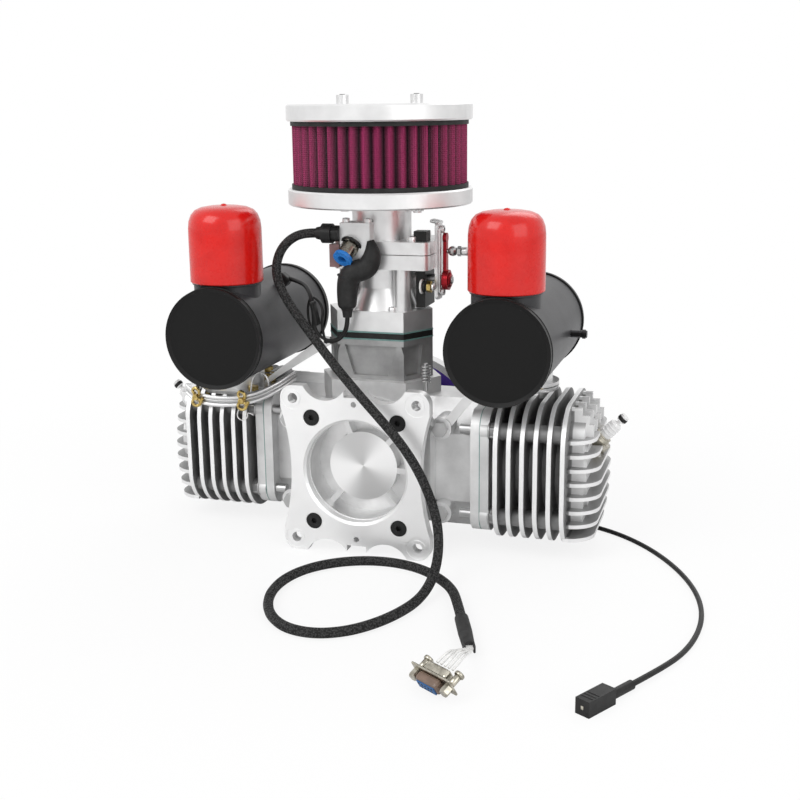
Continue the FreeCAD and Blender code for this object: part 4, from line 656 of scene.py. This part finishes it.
class FLATTWIN_OT_stage(bpy.types.Operator):
    """Make the floor, the studio light, the white surround and the camera"""
    bl_idname = "flattwin.stage"
    bl_label = "Stage"

    def execute(self, context):
        scene = context.scene
        scene.view_settings.view_transform = "Standard"
        self.surround(scene)
        self.floor(scene.flat_twin_sizes)
        self.lamp("Key", (-0.9, -1.3, 1.5), 1.3, 20)
        self.lamp("Fill", (1.5, -1.0, 0.9), 1.4, 11)
        self.lamp("Rim", (0.3, 1.5, 1.5), 1.2, 7)
        self.camera(scene)
        return {"FINISHED"}

    def surround(self, scene):
        """A world that is white where it is seen, and softer where it only lights."""
        world = bpy.data.worlds.new("Studio")
        world.use_nodes = True
        scene.world = world
        nodes, links = world.node_tree.nodes, world.node_tree.links
        rays = nodes.new("ShaderNodeLightPath")
        seen = rays.outputs["Is Camera Ray"]
        for name in ("Is Glossy Ray", "Is Transmission Ray"):
            either = nodes.new("ShaderNodeMath")
            either.operation = "MAXIMUM"
            links.new(seen, either.inputs[0])
            links.new(rays.outputs[name], either.inputs[1])
            seen = either.outputs[0]
        strength = nodes.new("ShaderNodeMapRange")
        strength.inputs["To Min"].default_value = 0.62
        strength.inputs["To Max"].default_value = 1.0
        links.new(seen, strength.inputs["Value"])
        links.new(strength.outputs[0], nodes["Background"].inputs["Strength"])
        nodes["Background"].inputs["Color"].default_value = (1, 1, 1, 1)

    def floor(self, sizes):
        """A wide white floor that keeps the engine's shadow."""
        drop, reach = -sizes.floor_drop, 9.0
        mesh = bpy.data.meshes.new("Floor")
        corners = [(-reach, -reach, drop), (reach, -reach, drop), (reach, reach, drop), (-reach, reach, drop)]
        mesh.from_pydata(corners, [], [(0, 1, 2, 3)])
        floor = bpy.data.objects.new("Floor", mesh)
        bpy.context.collection.objects.link(floor)
        material = bpy.data.materials.new("Floor paper")
        material.use_nodes = True
        nodes, links = material.node_tree.nodes, material.node_tree.links
        paper = nodes["Principled BSDF"]
        paper.inputs["Base Color"].default_value = (0.9, 0.9, 0.9, 1)
        paper.inputs["Roughness"].default_value = 0.9
        glow = nodes.new("ShaderNodeEmission")
        rays = nodes.new("ShaderNodeLightPath")
        place = nodes.new("ShaderNodeTexCoord")
        away = nodes.new("ShaderNodeVectorMath")
        away.operation = "LENGTH"
        links.new(place.outputs["Object"], away.inputs[0])
        spread = nodes.new("ShaderNodeMapRange")
        for key, value in (("From Min", 0.16), ("From Max", 0.55), ("To Min", 0.84), ("To Max", 1.0)):
            spread.inputs[key].default_value = value
        links.new(away.outputs["Value"], spread.inputs["Value"])
        share = nodes.new("ShaderNodeMath")
        share.operation = "MULTIPLY"
        links.new(rays.outputs["Is Camera Ray"], share.inputs[0])
        links.new(spread.outputs[0], share.inputs[1])
        blend = nodes.new("ShaderNodeMixShader")
        links.new(share.outputs[0], blend.inputs[0])
        links.new(paper.outputs[0], blend.inputs[1])
        links.new(glow.outputs[0], blend.inputs[2])
        links.new(blend.outputs[0], nodes["Material Output"].inputs["Surface"])
        mesh.materials.append(material)

    def lamp(self, name, place, size, power):
        """A soft square lamp aimed at the engine."""
        data = bpy.data.lights.new(name, "AREA")
        data.size = size
        data.energy = power
        lamp = bpy.data.objects.new(name, data)
        lamp.location = place
        lamp.rotation_mode = "QUATERNION"
        lamp.rotation_quaternion = (Vector((0, 0.06, 0.07)) - Vector(place)).to_track_quat("-Z", "Y")
        bpy.context.collection.objects.link(lamp)

    def camera(self, scene):
        """The camera, a little above the engine and off to its right."""
        data = bpy.data.cameras.new("Camera")
        data.sensor_width = 36
        data.lens = 54.22
        camera = bpy.data.objects.new("Camera", data)
        heading, pitch, roll = (math.radians(a) for a in (17.33, 13.94, -0.65))
        turn = Matrix.Rotation(heading, 3, "Z") @ Matrix.Rotation(math.pi / 2 - pitch, 3, "X")
        camera.rotation_mode = "QUATERNION"
        camera.rotation_quaternion = (turn @ Matrix.Rotation(roll, 3, "Z")).to_quaternion()
        camera.location = (0.2633, -0.7387, 0.2455)
        bpy.context.collection.objects.link(camera)
        scene.camera = camera


# ---- loose cables ----

HARNESS_LINE = [
    (-36, 34, 158.5), (-43.2, 34, 158.5), (-52.3, 33.3, 156), (-59.8, 31.7, 149.8), (-64, 29.5, 141),
    (-64.2, 26.9, 131), (-60, 24, 121), (-51, 19.5, 109.8), (-38.5, 13.5, 97.5), (-24, 6.3, 84),
    (-9.5, -1, 71), (6, -7, 57.5), (21, -10.3, 43.5), (35, -11.5, 29), (47, -12.2, 12.5), (56, -13.6, -5),
    (62.5, -17.5, -20.5), (66.5, -26, -34), (68.5, -39, -44), (68.5, -54, -51), (66, -71, -55),
    (60.5, -90, -55.7), (51, -110, -55.7), (37.5, -126, -55.7), (20.5, -134, -55.7), (2, -131.5, -55.7),
    (-13, -119, -55.7), (-23.5, -101, -55.7), (-29, -80, -55.7), (-28, -58, -55.7), (-20, -39, -55.7),
    (-5, -24, -55.7), (14, -15.5, -55.7), (34.5, -14.5, -55.7), (54.5, -21.5, -55.7), (71, -35.5, -55.7),
    (82.5, -52, -54.6), (90.5, -71, -54.6), (98, -91, -54.6),
]
LEAD_LINE = [
    (44, 114.5, -40), (49.5, 114.5, -40), (57, 114.5, -42.8), (65.5, 114, -48.2), (75, 113, -53.2),
    (86, 111.5, -56.6), (99, 109.5, -57.4), (119, 106, -57.4), (143, 99.5, -57.4), (167, 87, -57.4),
    (188, 68, -57.4), (206, 44, -57.4), (221, 16, -57.4), (231, -13, -57.4), (235.5, -42, -57.4),
    (234.5, -70, -57.4), (229, -97, -57.2), (219, -122, -56.1), (205, -146, -56.1),
]


PLUG_X = 111
PLUG_Z = -48.6
PLUG_TURN = -33
PLUG_TIP = 30


def leaving(line):
    """The level direction in which a cable leaves its last point."""
    return (Vector(line[-1]) - Vector(line[-2])).normalized()


class FLATTWIN_OT_harness(bpy.types.Operator):
    """Lay the braided harness with its shrink sleeve, white wires and nine-way plug"""
    bl_idname = "flattwin.harness"
    bl_label = "Harness"

    def execute(self, context):
        sizes = context.scene.flat_twin_sizes
        cable = spline("Harness", HARNESS_LINE, sizes.harness_d, "braid")
        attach(cable, ENGINE)
        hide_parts("harness_cable")
        heading, end = leaving(HARNESS_LINE), Vector(HARNESS_LINE[-1])
        sleeve_end = end + heading * 44
        profile = [(3.3, 0), (4.2, 1.5), (4.3, 20), (3.9, 32), (3.7, 38), (3.3, 39.5)]
        sleeve = turned("Harness_sleeve", profile, end, heading, "shrink", 28)
        pieces = [sleeve]
        across = heading.cross(Vector((0, 0, 1)))
        bearing = math.degrees(math.atan2(heading.y, heading.x))
        for side in (-1, 1):
            fork = end + heading * 40.5 + across * 2.8 * side
            pieces.append(slab(f"Sleeve_fork_{side}", (7, 1.3, 4.6), fork, "shrink", (0, 0, bearing), 0.5))
        for n in range(-2, 3):
            start = sleeve_end - across * 1.0 * n - heading * 6
            cup, back = (self.pose() @ Vector((PLUG_X + 3.0 * n, y, PLUG_Z)) for y in (-163.5, -156))
            bow = start.lerp(back, 0.6) + Vector((0, 0, 1.5 - abs(n)))
            route = [start, start + heading * 6, bow, back, cup]
            pieces.append(bent_wire(f"Plug_wire_{n + 3}", route, sizes.wire_d, "white_wire"))
        pieces += self.plug()
        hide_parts("harness_plug")
        return {"FINISHED"}

    def pose(self):
        """The turn and tip of the plug on the floor, about its flange, in millimetres."""
        middle = Matrix.Translation((PLUG_X, -170, PLUG_Z))
        moved = Matrix.Translation((-4, -8, 0))
        turn = Matrix.Rotation(math.radians(PLUG_TURN), 4, "Z")
        turn = turn @ Matrix.Rotation(math.radians(PLUG_TIP), 4, "X")
        return moved @ middle @ turn @ middle.inverted()

    def plug(self):
        """The nine-way plug: solder cups, a plated flange and shell, a blue insert with black dots as painted
        shade in its nine holes, and two jack posts.
        """
        x, z = PLUG_X, PLUG_Z
        parts = [
            slab("Plug_back", (17, 5.5, 7.6), (x, -168.3, z), "nickel", soft=1.2),
            slab("Plug_flange", (30, 1.4, 11.6), (x, -172.3, z), "nickel", soft=0.5),
            slab("Plug_shell", (16.4, 5.6, 8.0), (x, -175.6, z), "bronze", soft=1.8),
            slab("Plug_insert", (13.6, 1.0, 5.4), (x, -178.6, z - 0.4), "socket_blue", soft=0.4),
        ]
        hole_shades = []
        # Painted shade: short black rods on the insert's face stand for the dark insides of its holes.
        for row, count in ((1, 5), (-1, 4)):
            for n in range(count):
                across, up = x + 2.5 * (n - (count - 1) / 2), z - 0.4 + 1.25 * row
                ends = (across, -179.0, up), (across, -179.3, up)
                hole_shades.append(rod(f"Plug_hole_shade_{row}.{n}", *ends, 0.5, "black_plastic", 12))
        parts.append(joined(hole_shades))
        for i in (-1, 1):
            at = (x + 12.2 * i, -173.0, z)
            root = rod(f"Jack_root_{i}", (at[0], -171.5, z), (at[0], -164.0, z), 2.0, "nickel", 16)
            cap = rod(f"Jack_cap_{i}", (at[0], -165.4, z), (at[0], -163.2, z), 2.9, "nickel", 16)
            parts.append(joined([hex_nut(f"Jack_post_{i}", at, (0, -1, 0), 4.8, 5.0, "nickel"), root, cap]))
        place = Matrix.Scale(MM, 4) @ self.pose() @ Matrix.Scale(1 / MM, 4)
        for part in parts:
            part.data.transform(place)
        return parts


class FLATTWIN_OT_sensor_lead(bpy.types.Operator):
    """Lay the ignition sensor's lead and dress its three-way plug"""
    bl_idname = "flattwin.sensor_lead"
    bl_label = "Sensor lead"

    def execute(self, context):
        sizes = context.scene.flat_twin_sizes
        lead = spline("Sensor_lead", LEAD_LINE, sizes.lead_d, "lead_jacket")
        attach(lead, ENGINE)
        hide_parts("sensor_lead")
        heading, end = leaving(LEAD_LINE), Vector(LEAD_LINE[-1])
        bearing = math.degrees(math.atan2(heading.y, heading.x))
        centre = end + heading * 30 + Vector((0, 0, 1.7))
        for n in range(3):
            along = centre + heading * (7.2 - 2.6 * n) + Vector((0, 0, 4.55))
            slab(f"Plug_rib_{n}", (0.9, 7.6, 0.5), along, "black_plastic", (0, 0, bearing), 0.2)
        slab("Plug_slot", (0.5, 1.6, 2.0), centre + heading * 10.9, "nickel", (0, 0, bearing), 0.1)
        return {"FINISHED"}


# ---- finishes on the solid model ----

class FLATTWIN_OT_finishes(bpy.types.Operator):
    """Make every finish and put each one on the pieces of the solid model that wear it"""
    bl_idname = "flattwin.finishes"
    bl_label = "Finishes"

    def execute(self, context):
        make_finishes(context.scene.flat_twin_finishes)
        for entry in frame["record"]["subparts"]:
            node = entry["node"]
            finish = NODE_FINISH.get(node, entry["material_slot"])
            mesh = frame["nodes"][node].data
            mesh.materials.clear()
            mesh.materials.append(FINISHES[finish].material)
        return {"FINISHED"}


# ---- small pieces ----

class FLATTWIN_OT_fuel(bpy.types.Operator):
    """Add the injector block's screws, the fitting's O-ring and a black disc as painted shade in the bore of
    its collar
    """
    bl_idname = "flattwin.fuel"
    bl_label = "Fuel fittings"

    def execute(self, context):
        aim = Vector((-0.24, -0.74, -0.63)).normalized()
        root = Vector((-10.7, 33.7, 151.5))
        torus_ring("Fitting_ring", root + aim * 0.6, aim, 6.9, 0.9, "black_rubber")
        # Painted shade: a thin black disc stands for the dark inside of the collar's bore.
        turned("Collar_bore_shade", [(2.6, 0), (2.6, 0.4)], root + aim * 7.6, aim, "black_rubber", 20)
        for n, x in enumerate((-15.5, 0)):
            screw(f"Block_screw_{n}", (x, 36.5, 166), (0, 0, 1), 2.6, "machined")
        return {"FINISHED"}


class FLATTWIN_OT_boot_wire(bpy.types.Operator):
    """Shape the injector's rubber boot and run its wire and loop to a tie on the left muffler"""
    bl_idname = "flattwin.boot_wire"
    bl_label = "Injector wire"

    def execute(self, context):
        form = [
            (3.2, 32, 154.5, 2.4), (4.6, 31.5, 149.5, 4.6), (4.4, 31, 142.5, 6.6), (1.0, 30, 135.5, 7.5),
            (-7, 29.5, 134, 7.8), (-12, 29.5, 129, 7.7), (-13.2, 29.5, 121, 7.3), (-13.5, 29.5, 112.5, 6.7),
            (-13.5, 29.5, 109.2, 6.3), (-13.5, 29.5, 107.6, 3.6), (-13.5, 29.5, 102, 3.1),
        ]
        line, radii = [point[:3] for point in form], [point[3] for point in form]
        boot = bent_wire("Injector_boot", line, 2 * MM, "black_rubber", swell=radii)
        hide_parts("sensor_boot")
        route = [
            (-13.5, 29.5, 103), (-13.6, 29.8, 97), (-17, 31, 89), (-24, 32, 84), (-33, 32, 84.5), (-39, 31, 92),
            (-39, 32, 101), (-42, 37, 111), (-50, 50, 118), (-60, 62, 120), (-72, 70, 121),
        ]
        bent_wire("Injector_wire", route, 3.2 * MM, "lead_jacket")
        bent_wire("Injector_loop", [
            (-31, 31, 85), (-34, 32, 96), (-32, 33, 106), (-39, 38, 113), (-48, 48, 112), (-52, 52, 100),
            (-47, 46, 90), (-38, 36, 84), (-30, 32, 83),
        ], 1.9 * MM, "lead_jacket")
        slab("Tie_block", (9, 8, 7), (-76, 70, 120.5), "black_plastic", (0, 40, 0), 1.2)
        slab("Tie_strap", (3, 7, 17), (-38.5, 33, 103), "black_plastic", (0, -12, 0), 1.0)
        slab("Wire_tag", (6.2, 2.4, 4.4), (-34.5, 29.6, 84.2), "white_wire", (0, 28, 0), 1.2)
        torus_ring("Boot_collar", (-12.0, 29.5, 129.6), (0.25, 0, 1), 7.55, 0.5, "black_rubber")
        return {"FINISHED"}


class FLATTWIN_OT_linkage(bpy.types.Operator):
    """Add the throttle link's discs, clevis and rod end, the bracket's trim and the shaft's nut"""
    bl_idname = "flattwin.linkage"
    bl_label = "Throttle linkage"

    def execute(self, context):
        y, z = SHAFT_Y - 14.5, 122
        rod("Link_disc_white", (33.6, y, z), (35.0, y, z), 5.0, "white_wire", 28)
        rod("Link_disc_black", (35.0, y, z), (37.6, y, z), 4.2, "black_plastic", 28)
        rod("Link_clevis", (37.6, y, z), (43.6, y, z), 2.7, "machined", 20)
        hex_nut("Link_nut", (38.4, y, z), (1, 0, 0), 7, 3.2, "brass")
        rod("Rod_end", (58.6, SHAFT_Y, 145), (63.4, SHAFT_Y, 145), 3.0, "machined", 20, "throttle")
        for n, z in enumerate((117, 160)):
            screw(f"Bracket_screw_{n}", (44.1, SHAFT_Y - 2, z), (1, 0, 0), 2.7, "machined")
        slab("Ear_block", (8, 7, 6.5), (34.5, 51, 156.2), "black_plastic", soft=1.0)
        slab("Bracket_lip", (7.5, 9, 2.2), (41.5, 60.5, 165.2), "machined", (0, 12, 0), 0.8)
        slab("Bracket_edge", (1.6, 3.0, 44), (44.8, 56, 139), "machined", soft=0.6)
        hex_nut("Shaft_nut", (48.1, SHAFT_Y, 125), (1, 0, 0), 9, 3.4, "red_anodised", "throttle")
        rod("Shaft_end", (51.4, SHAFT_Y, 125), (52.4, SHAFT_Y, 125), 2.6, "steel", 18, "throttle")
        return {"FINISHED"}


class FLATTWIN_OT_screws(bpy.types.Operator):
    """Add the screws and nuts that hold the castings together"""
    bl_idname = "flattwin.screws"
    bl_label = "Screws and nuts"

    def execute(self, context):
        for i in (-1, 1):
            for k in (-1, 1):
                if (i, k) != (-1, -1):
                    seat = (4.5 + 24 * i, SHAFT_Y + 18.5 * k, 153)
                    screw(f"Neck_screw_{i}.{k}", seat, (0, 0, 1), 3.2, "machined")
                screw(f"Carrier_screw_{i}.{k}", (15 * i, INTAKE_Y + 20.5 * k, 105), (0, 0, 1), 2.8, "machined")
                for side, y in BANKS.values():
                    at = (side * 88.7, y + 38 * i, 30 * k)
                    hex_nut(f"Cylinder_nut_{side}.{i}.{k}", at, (side, 0, 0), 11, 5.4, "steel")
                    torus_ring(f"Nut_washer_{side}.{i}.{k}", at, (side, 0, 0), 6.2, 0.7, "steel")
        for n, x in enumerate((-25.4, 27.6)):
            # Painted shade: a thin black disc on each post's top stands for the dark inside of its slot.
            slot = [(1.9, 0), (1.9, 0.35)]
            turned(f"Post_slot_shade_{n}", slot, (x, INTAKE_Y, 250.1), (0, 0, 1), "black_plastic", 18)
            hex_nut(f"Post_nut_{n}", (x, INTAKE_Y, 177), (0, 0, -1), 7.6, 4.6, "black_screw")
        for n, angle in enumerate((30, 90, 150, 210, 270, 330)):
            at = (39 * math.cos(math.radians(angle)), 112, 39 * math.sin(math.radians(angle)))
            if at[2] > -38:
                screw(f"Nose_screw_{n}", at, (0, 1, 0), 2.8, "steel")
        return {"FINISHED"}


STRAP_LINE = [
    (-140.5, 33.5, 42.5), (-135.5, 31, 40), (-130, 29.5, 38), (-121, 28, 36.6), (-111, 27.5, 36.6),
    (-101, 27.5, 37.4), (-94, 27.5, 38.8), (-85, 28, 41.2), (-75, 32, 45), (-67, 39, 49.5), (-62, 49, 54),
]
CAP_FORM = [
    (0.1, 175.2), (12, 174.6), (19.5, 171.5), (23.4, 165), (23.4, 125.6), (24.6, 125.3), (25.2, 125.9),
    (25.2, 150), (25.1, 162), (24.5, 167.2), (22.9, 171.4), (20.2, 174.4), (16.2, 176.2), (11, 177.1),
    (5, 177.4), (2.4, 177.5), (1.7, 178.3), (0.1, 178.7),
]


class FLATTWIN_OT_exhaust(bpy.types.Operator):
    """Add the exhaust strap, its clips and springs, the cans' beads, the dipped caps and the pad's spring"""
    bl_idname = "flattwin.exhaust"
    bl_label = "Exhaust fittings"

    def execute(self, context):
        wire = context.scene.flat_twin_sizes.spring_wire_d / MM
        for i in (-1, 1):
            at = (-112.5 + 18.5 * i, 75, 41.6)
            coil(f"Flange_spring_{i}", at, (0, 0, 1), 5.0, 3.5, 7.2, wire, "brass")
            hex_nut(f"Spring_nut_{i}", Vector(at) + Vector((0, 0, 9.2)), (0, 0, 1), 7, 3.2, "brass")
        strands = ((2.7, 0, 2.9, "machined"), (-2.7, 0, 2.9, "machined"), (0, 1.2, 3.4, "steel"))
        for n, (rise, inset, thick, finish) in enumerate(strands):
            band = [(x, y + inset, z + rise) for x, y, z in STRAP_LINE]
            bent_wire(f"Strap_{n}", band, thick * MM, finish)
        for n, (x, y, z) in enumerate(((-130, 26.6, 39.2), (-93.8, 26, 38.8))):
            for k in (-1, 1):
                at, tip = (x, y, z + 3.9 * k), (0.25 * k, 1, 0.2)
                torus_ring(f"Clip_ring_{n}.{k}", at, tip, 2.9, 1.15, "brass", 24)
            hex_nut(f"Clip_nut_{n}", (x, y + 1, z), (0, -1, 0), 4.6, 3.4, "brass")
            slab(f"Clip_tail_{n}", (2.2, 1.6, 6.5), (x + 3.6, y, z - 3.4), "brass", (0, 28, 0), 0.4)
        bent_wire("Clip_wire", [
            (-96, 26.5, 33), (-99, 26, 28), (-95, 26, 23.5), (-90, 27, 26), (-90.5, 27, 31), (-86, 28, 28),
        ], 0.9 * MM, "machined")
        bent_wire("Safety_loop", [
            (-93, 40, 40), (-93, 42, 50), (-88, 43, 57), (-82, 43, 55), (-79, 43, 47), (-81, 42, 42),
        ], 1.2 * MM, "machined")
        for bank, (side, _) in BANKS.items():
            x = CAN_X * side
            for y in (-1.5, 122.5):
                torus_ring(f"Can_seam_{side}.{y:g}", (x, y, CAN_Z), (0, 1, 0), 34.9, 0.7, "muffler_sheet", 64)
            torus_ring(f"Outlet_weld_{side}", (x, OUTLET_Y, 124.6), (0, 0, 1), 23.2, 0.9, "muffler_sheet", 48)
            foot = (x, OUTLET_Y, 0)
            cap = turned(f"Dipped_cap_{bank}", CAP_FORM, foot, (0, 0, 1), "red_vinyl", 72, "cap_" + bank)
            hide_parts("outlet_cap_" + bank)
        coil("Choke_spring", (41, 33.5, 58), (0, 0, 1), 3.1, 6, 12, 1.0, "steel")
        rod("Spring_post", (41, 33.5, 52), (41, 33.5, 72), 1.5, "steel", 16)
        return {"FINISHED"}


class FLATTWIN_OT_ignition(bpy.types.Operator):
    """Add the spark plugs' terminal clips, ribs and gasket rings"""
    bl_idname = "flattwin.ignition"
    bl_label = "Ignition fittings"

    def execute(self, context):
        for side, y in BANKS.values():
            aim = Vector((side, 0, 1)).normalized()
            seat = Vector((side * 151, y, 13))
            torus_ring(f"Plug_gasket_{side}", seat + aim * 0.2, aim, 7.6, 0.8, "brass")
            torus_ring(f"Plug_crimp_{side}", seat + aim * 12.4, aim, 5.6, 0.5, "nickel")
            for n in range(3):
                torus_ring(f"Ceramic_rib_{side}.{n}", seat + aim * (15.5 + 2.6 * n), aim, 4.35, 0.55, "ceramic")
            clip = [(3.2, 0), (3.5, 0.4), (3.5, 2.2), (3.2, 2.6)]
            turned(f"Terminal_clip_{side}", clip, seat + aim * 28.4, aim, "black_plastic", 24)
        return {"FINISHED"}


# ---- the add-on ----

class FLATTWIN_PT_engine(bpy.types.Panel):
    """The engine's sizes, colours and build steps"""
    bl_idname = "FLATTWIN_PT_engine"
    bl_label = "Flat Twin Engine"
    bl_space_type = "VIEW_3D"
    bl_region_type = "UI"
    bl_category = "Flat Twin"

    def draw(self, context):
        for settings in (context.scene.flat_twin_finishes, context.scene.flat_twin_sizes):
            box = self.layout.box()
            for name in settings.__annotations__:
                box.prop(settings, name)
        column = self.layout.column(align=True)
        for step in STEPS:
            column.operator(step.bl_idname)


SETTINGS = (FlatTwinFinishes, FlatTwinSizes)
STEPS = (
    FLATTWIN_OT_stage, FLATTWIN_OT_finishes, FLATTWIN_OT_harness, FLATTWIN_OT_sensor_lead, FLATTWIN_OT_fuel,
    FLATTWIN_OT_boot_wire, FLATTWIN_OT_linkage, FLATTWIN_OT_screws, FLATTWIN_OT_exhaust, FLATTWIN_OT_ignition,
)
CLASSES = SETTINGS + STEPS + (FLATTWIN_PT_engine,)
SLOTS = {entry["slot"] for entry in frame["record"]["materials"]}


def register():
    """Adds the classes and the scene's two groups of settings."""
    for made in CLASSES:
        bpy.utils.register_class(made)
    bpy.types.Scene.flat_twin_finishes = PointerProperty(type=FlatTwinFinishes)
    bpy.types.Scene.flat_twin_sizes = PointerProperty(type=FlatTwinSizes)


def unregister():
    """Takes the settings and the classes away again."""
    del bpy.types.Scene.flat_twin_sizes
    del bpy.types.Scene.flat_twin_finishes
    for made in reversed(CLASSES):
        bpy.utils.unregister_class(made)


def main():
    """Builds the whole scene."""
    register()
    for step in STEPS:
        family, name = step.bl_idname.split(".")
        getattr(getattr(bpy.ops, family), name)()


if __name__ == "__main__":
    main()
